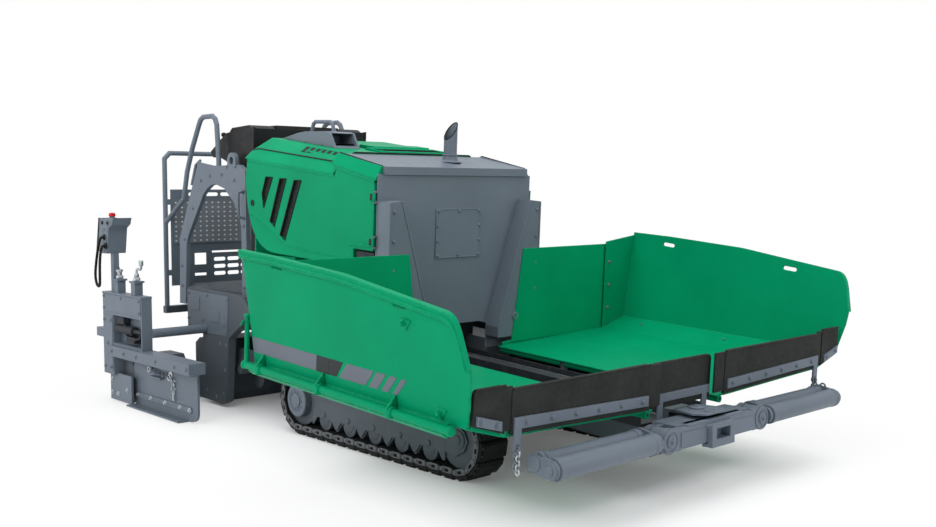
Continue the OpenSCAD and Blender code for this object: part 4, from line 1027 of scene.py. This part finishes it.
COVER_Y = 622
ARM_FACE_Y = 617
COVER_BOLTS = ((-1710, 735), (-1710, 560), (-1480, 500), (-1240, 500),
               (-1210, 720), (-1460, 735), (-1520, 560))
ARM_BOLTS = ((-1225, 420), (-1300, 424), (-1240, 250), (-1262, 90),
             (-1480, 90), (-1500, 250), (-1360, 60))
SPINDLE_XS, SPINDLE_Y = (-1867, -1615), 1044
CRANK_X = -1548
CYLINDER_Y, CYLINDER_Z = 1052, 508
GATE_Y = 1010
GATE_CHAIN_Y = 1022
SHORT_CHAIN_X = -1180
LONG_CHAIN_LINKS = 10
COLUMN_Y = 1080
COLUMN_BOLTS = ((-2030, 720), (-2030, 640), (-1510, 720), (-1510, 640), (-1770, 720),
                (-2030, 560), (-2030, 240), (-1935, 560), (-1935, 240), (-1980, 400))
CONSOLE_Y = 1100


def tow_arm_pieces(side, k):
    plate, bolts = level_shapes(2)
    cover = [(-1730, 520), (-1500, 478), (-1215, 478), (-1190, 640), (-1190, 742), (-1730, 752)]
    plate.prism(cover, "y", COVER_Y - 4, COVER_Y)
    plate.prism(rounded(-1440, 560, -1300, 640, 8), "y", COVER_Y, COVER_Y + 3)
    plate.prism(rounded(-1690, 620, -1560, 720, 8), "y", COVER_Y, COVER_Y + 6)
    plate.lathe((-1250, COVER_Y, 560), OUT, [(26, 0), (26, 4), (18, 6)])
    plate.done("arm_cover_" + side, "screed_unit", GREY, k)
    for x, z in COVER_BOLTS:
        bolts.bolt((x, COVER_Y, z), OUT, 9)
    # flat heads, since the end gate slides past them
    for x, z in ARM_BOLTS:
        bolts.lathe((x, ARM_FACE_Y, z), OUT, [(12, 0), (12, 2.2), (10, 2.7), (7, 2.7), (6, 1.8)])
    bolts.done("arm_bolts_" + side, "screed_unit", GREY, k, bevel=0)


def spindle_pieces(side, k):
    """Spindle nuts, the crank and a knob."""
    zinc = Shape(pitched=False)
    knob_x, foot_x = SPINDLE_XS
    for x in SPINDLE_XS:
        zinc.lathe((x, SPINDLE_Y, 846), UP, [(24, 0), (24, 16), (20, 19)], 6)
        zinc.lathe((x, SPINDLE_Y, 866), UP, [(13.5, 0), (16, 4), (16, 20), (10, 26)])
    crank = ((foot_x, 880), (foot_x, 912), (-1602, 920), (-1556, 920), (CRANK_X, 928), (CRANK_X, 948))
    zinc.tube([(x, SPINDLE_Y, z) for x, z in crank], 8)
    zinc.lathe((CRANK_X, SPINDLE_Y, 942), UP, [(9, 0), (15, 4), (15, 34), (8, 40)])
    zinc.lathe((knob_x, SPINDLE_Y, 884), UP, [(10, 0), (24, 6), (24, 18), (12, 24)], 8)
    zinc.done("spindles_" + side, "extension_" + side, ZINC, k, bevel=0)


def recess_pieces(side, k):
    """Cylinder, valve blocks and hoses in the recess."""
    dark = Shape(pitched=False)
    rear, middle, front = [(x, CYLINDER_Y, CYLINDER_Z) for x in (-1890, -1640, -1500)]
    dark.rod(rear, middle, 30)
    dark.rod(middle, front, 15)
    dark.box((-1860, 1026, 544), (-1760, 1074, 590))
    dark.box((-1720, 1026, 430), (-1600, 1076, 470))
    for i in range(3):
        y = 1036 + 14 * i
        dark.tube([(-1800 + 20 * i, y, 546), (-1780 + 30 * i, y + 6, 470), (-1700 + 40 * i, y + 8, 450),
                   (-1560 + 10 * i, y, 470), (-1510, y, 540 + 8 * i)], 8)
    dark.done("recess_hydraulics_" + side, "extension_" + side, BLACKISH, k)


def gate_pieces(side, k):
    body = "extension_" + side
    grey, eyes, bolts = level_shapes(3)
    # rails on the end plate
    grey.prism(rounded(-1720, 60, -960, 96, 12), "y", GATE_Y, GATE_Y + 8)
    grey.prism([(-1740, 300), (-910, 300), (-910, 322), (-1740, 322)], "y", GATE_Y, GATE_Y + 20)
    grey.prism([(-1470, 226), (-1330, 226), (-1318, 236), (-1470, 236)], "y", GATE_Y - 2, GATE_Y + 30)
    # eyes, short chain with its hook, and galvanised bolts
    for x, z in ((-1500, 288), (-1225, 268)):
        eyes.lathe((x, GATE_Y - 1, z), OUT, [(25, 0), (25, 8), (19, 12), (10, 12), (10, 17), (6, 18)])
        eyes.ring((x, GATE_Y + 16, z - 16), OUT, 17, 4.5)
    for i in range(4):
        eyes.ring((SHORT_CHAIN_X, GATE_CHAIN_Y, 236 - 24 * i), OUT if i % 2 else FRONT, 13, 4, 16)
    hook = ((0, 0, 152), (0, 2, 130), (8, 2, 112), (22, 2, 120))
    eyes.tube([(SHORT_CHAIN_X + x, GATE_CHAIN_Y + y, z) for x, y, z in hook], 6)
    for x in (-1690, -1500, -1300, -1100, -980):
        eyes.bolt((x, GATE_Y + 8, 78), OUT, 11, 9)
    for x, z in ((-1990, 60), (-1990, 150), (-1900, 60), (-1760, 100)):
        eyes.bolt((x, 1056, z), OUT, 10, 8)
    eyes.done("gate_eyes_" + side, body, ZINC, k, bevel=0)
    # long chain that sags between the eyes
    for i in range(LONG_CHAIN_LINKS):
        sag = 14 * math.sin(math.pi * (i + 0.5) / LONG_CHAIN_LINKS)
        at = (-1478 + 26 * i, GATE_CHAIN_Y, 282 - 2.2 * i - sag)
        bolts.ring(at, UP if i % 2 else OUT, 13, 4, 14, 6)
    # stiffener, cover and ledge of the column
    grey.prism(rounded(-2050, 620, -1492, 734, 10), "y", COLUMN_Y, COLUMN_Y + 5)
    grey.prism(rounded(-2048, 210, -1915, 590, 10), "y", COLUMN_Y, COLUMN_Y + 4)
    grey.box((-2062, 1006, 736), (-1478, COLUMN_Y + 4, 748))
    grey.done("gate_fittings_" + side, body, GREY, k)
    for x in (-1880, -1700, -1520, -1250, -1000, -850):
        bolts.bolt((x, 1107, 358), OUT, 9)
    for x, z in COLUMN_BOLTS:
        bolts.bolt((x, COLUMN_Y + 4, z), OUT, 8)
    bolts.done("gate_bolts_" + side, body, GREY, k, bevel=0)


def console_pieces(side, k):
    """Cover, face plate, keys, red stop button and plugs of the side console."""
    body = "extension_" + side
    face, cover, keys, stop, plug = level_shapes(5)
    outline = [(-2058, 1056), (-2028, 1224), (-1862, 1230), (-1876, 1210),
               (-1918, 1188), (-1946, 1030), (-2026, 1030)]
    cover.prism(outline, "y", CONSOLE_Y, CONSOLE_Y + 3)
    cover.lathe((-1972, CONSOLE_Y + 3, 1172), OUT, [(15, 0), (15, 3), (11, 5), (8, 5), (8, 2)])
    cover.done("console_cover_" + side, body, GREY, k)
    face.prism([(-2092, 1042), (-2052, 1248), (-2042, 1246), (-2080, 1038)], "y", 974, CONSOLE_Y + 2)
    face.prism([(-2088, 1036), (-2046, 1250), (-2036, 1249), (-2074, 1034)], "y", CONSOLE_Y, CONSOLE_Y + 5)
    face.done("console_face_" + side, body, BLACKISH, k)
    for i in range(4):
        for y in (996, 1024, 1052, 1080):
            keys.lathe((-2082 + 9 * i, y, 1070 + 44 * i), (-1, 0, 0.2), [(9, 0), (9, 10), (6, 14)])
    for x in (-1986, -1904):
        keys.lathe((x, CONSOLE_Y + 2, 1216), OUT, [(12, 0), (12, 6), (9, 9), (5, 9)])
    keys.done("console_keys_" + side, body, PLASTIC, k)
    stop.lathe((-1950, 1050, 1258), UP, [(18.5, 0), (22, 4), (22.5, 14), (20, 22), (9, 26)], 28)
    stop.done("stop_button_" + side, body, RED, k)
    # plugs at both ends of the hanging cable, and a fixed lead down to the column
    for x, z in ((-1960, 1120), (-1940, 1062)):
        plug.lathe((x, CONSOLE_Y, z), OUT, [(22, 0), (22, 5), (17, 7), (17, 12), (12.5, 14)])
    lead = [(-1940, 1034, 1014), (-1944, 1030, 960), (-1930, 1020, 900),
            (-1926, 1012, 800), (-1930, 1012, 752)]
    plug.tube(lead, 8)
    plug.done("console_plugs_" + side, body, PLASTIC, k)


for make in (hood_top_pieces, hood_front_pieces, exhaust_pieces, scoop_pieces, push_beam_pieces):
    make()
for side, k in SIDES:
    push_arm_pieces(side, k)
for make in (arch_pieces, panel_pieces, desk_pieces):
    make()
SIDE_PIECES = (
    wing_stripe, wing_fittings, wing_bolts, wing_chain, flap_edges,
    door_pieces, beside_door_pieces, track_chain, roller_guard, drive_drum,
    tow_arm_pieces, spindle_pieces, recess_pieces, gate_pieces, console_pieces,
)
for side, k in SIDES:
    for make in SIDE_PIECES:
        make(side, k)


# Floor and soft studio light

FLOOR_HALF = 60.0
# half size of the shaded patch under the machine, and the two distances over which it fades to white
PATCH_HALF = (("X", 1.8), ("Y", 0.62))
FADE_NEAR, FADE_FAR = 0.62, 2.0
WORLD_TINT, WORLD_STRENGTH = (0.93, 0.96, 1.0, 1.0), 0.42
WHITE = (1, 1, 1, 1)


def plane(name, size, z):
    bm = bmesh.new()
    bmesh.ops.create_grid(bm, x_segments=1, y_segments=1, size=size)
    mesh = bpy.data.meshes.new(name)
    bm.to_mesh(mesh)
    bm.free()
    obj = bpy.data.objects.new(name, mesh)
    obj.location.z = z
    bpy.context.scene.collection.objects.link(obj)
    return obj


def floor_look():
    """Pale floor that catches the machine's shadow and fades to plain white away from it."""
    m = Look("pale_floor")
    m.bsdf.inputs["Roughness"].default_value = 0.9
    m.bsdf.inputs["Specular IOR Level"].default_value = 0.1
    pale = m.ramp(m.noise(scale=0.6, detail=3.0), 0.3, 0.7, 0.93, 0.96)
    m.link(pale, m.bsdf.inputs["Base Color"])
    glow = m.new("ShaderNodeEmission")
    glow.inputs["Strength"].default_value = 1.0
    place = m.new("ShaderNodeSeparateXYZ")
    m.link(m.coord, place.inputs[0])
    squares = []
    for axis, half in PATCH_HALF:
        beyond = m.math("SUBTRACT", m.math("ABSOLUTE", place.outputs[axis], 0.0), half)
        squares.append(m.math("POWER", m.math("MAXIMUM", beyond, 0.0), 2.0))
    far = m.math("SQRT", m.plus(*squares), 0.0)
    fade = m.plus(m.ramp(far, 0.0, FADE_NEAR, 0.1, 0.86), m.ramp(far, FADE_NEAR, FADE_FAR, 0.0, 0.14))
    m.blend(m.times(fade, m.seen()), m.bsdf, glow, m.out)
    return m.mat


def studio_world():
    """Soft light from all round, seen as plain white."""
    world = bpy.data.worlds.new("studio")
    w = Nodes(world)
    light, white = w.new("ShaderNodeBackground"), w.new("ShaderNodeBackground")
    for node, colour, strength in ((light, WORLD_TINT, WORLD_STRENGTH), (white, WHITE, 1.0)):
        node.inputs["Color"].default_value = colour
        node.inputs["Strength"].default_value = strength
    w.blend(w.seen(), light, white, w.new("ShaderNodeOutputWorld"))
    return world


def lamp(name, at, target, size, power):
    data = bpy.data.lights.new(name, "AREA")
    data.shape = "RECTANGLE"
    data.size, data.size_y = size
    data.energy = power
    obj = bpy.data.objects.new(name, data)
    obj.location = at
    obj.rotation_mode = "QUATERNION"
    obj.rotation_quaternion = (Vector(target) - Vector(at)).to_track_quat("-Z", "Y")
    bpy.context.scene.collection.objects.link(obj)


floor = plane("floor", FLOOR_HALF, 0.0)
floor.data.materials.append(floor_look())
bpy.context.scene.world = studio_world()
lamp("top", at=(0.5, -0.5, 6.5), target=(0.2, 0.0, 0.5), size=(7.0, 6.0), power=330.0)
lamp("key", at=(1.5, -6.5, 3.6), target=(0.0, 0.0, 0.8), size=(4.0, 3.0), power=165.0)
lamp("fill", at=(7.0, 2.0, 3.0), target=(1.0, 0.0, 0.8), size=(4.0, 3.0), power=135.0)
lamp("rear_fill", at=(-4.6, -5.0, 2.0), target=(-1.8, -0.8, 0.5), size=(3.0, 2.0), power=70.0)

bpy.context.scene.view_settings.view_transform = "Standard"
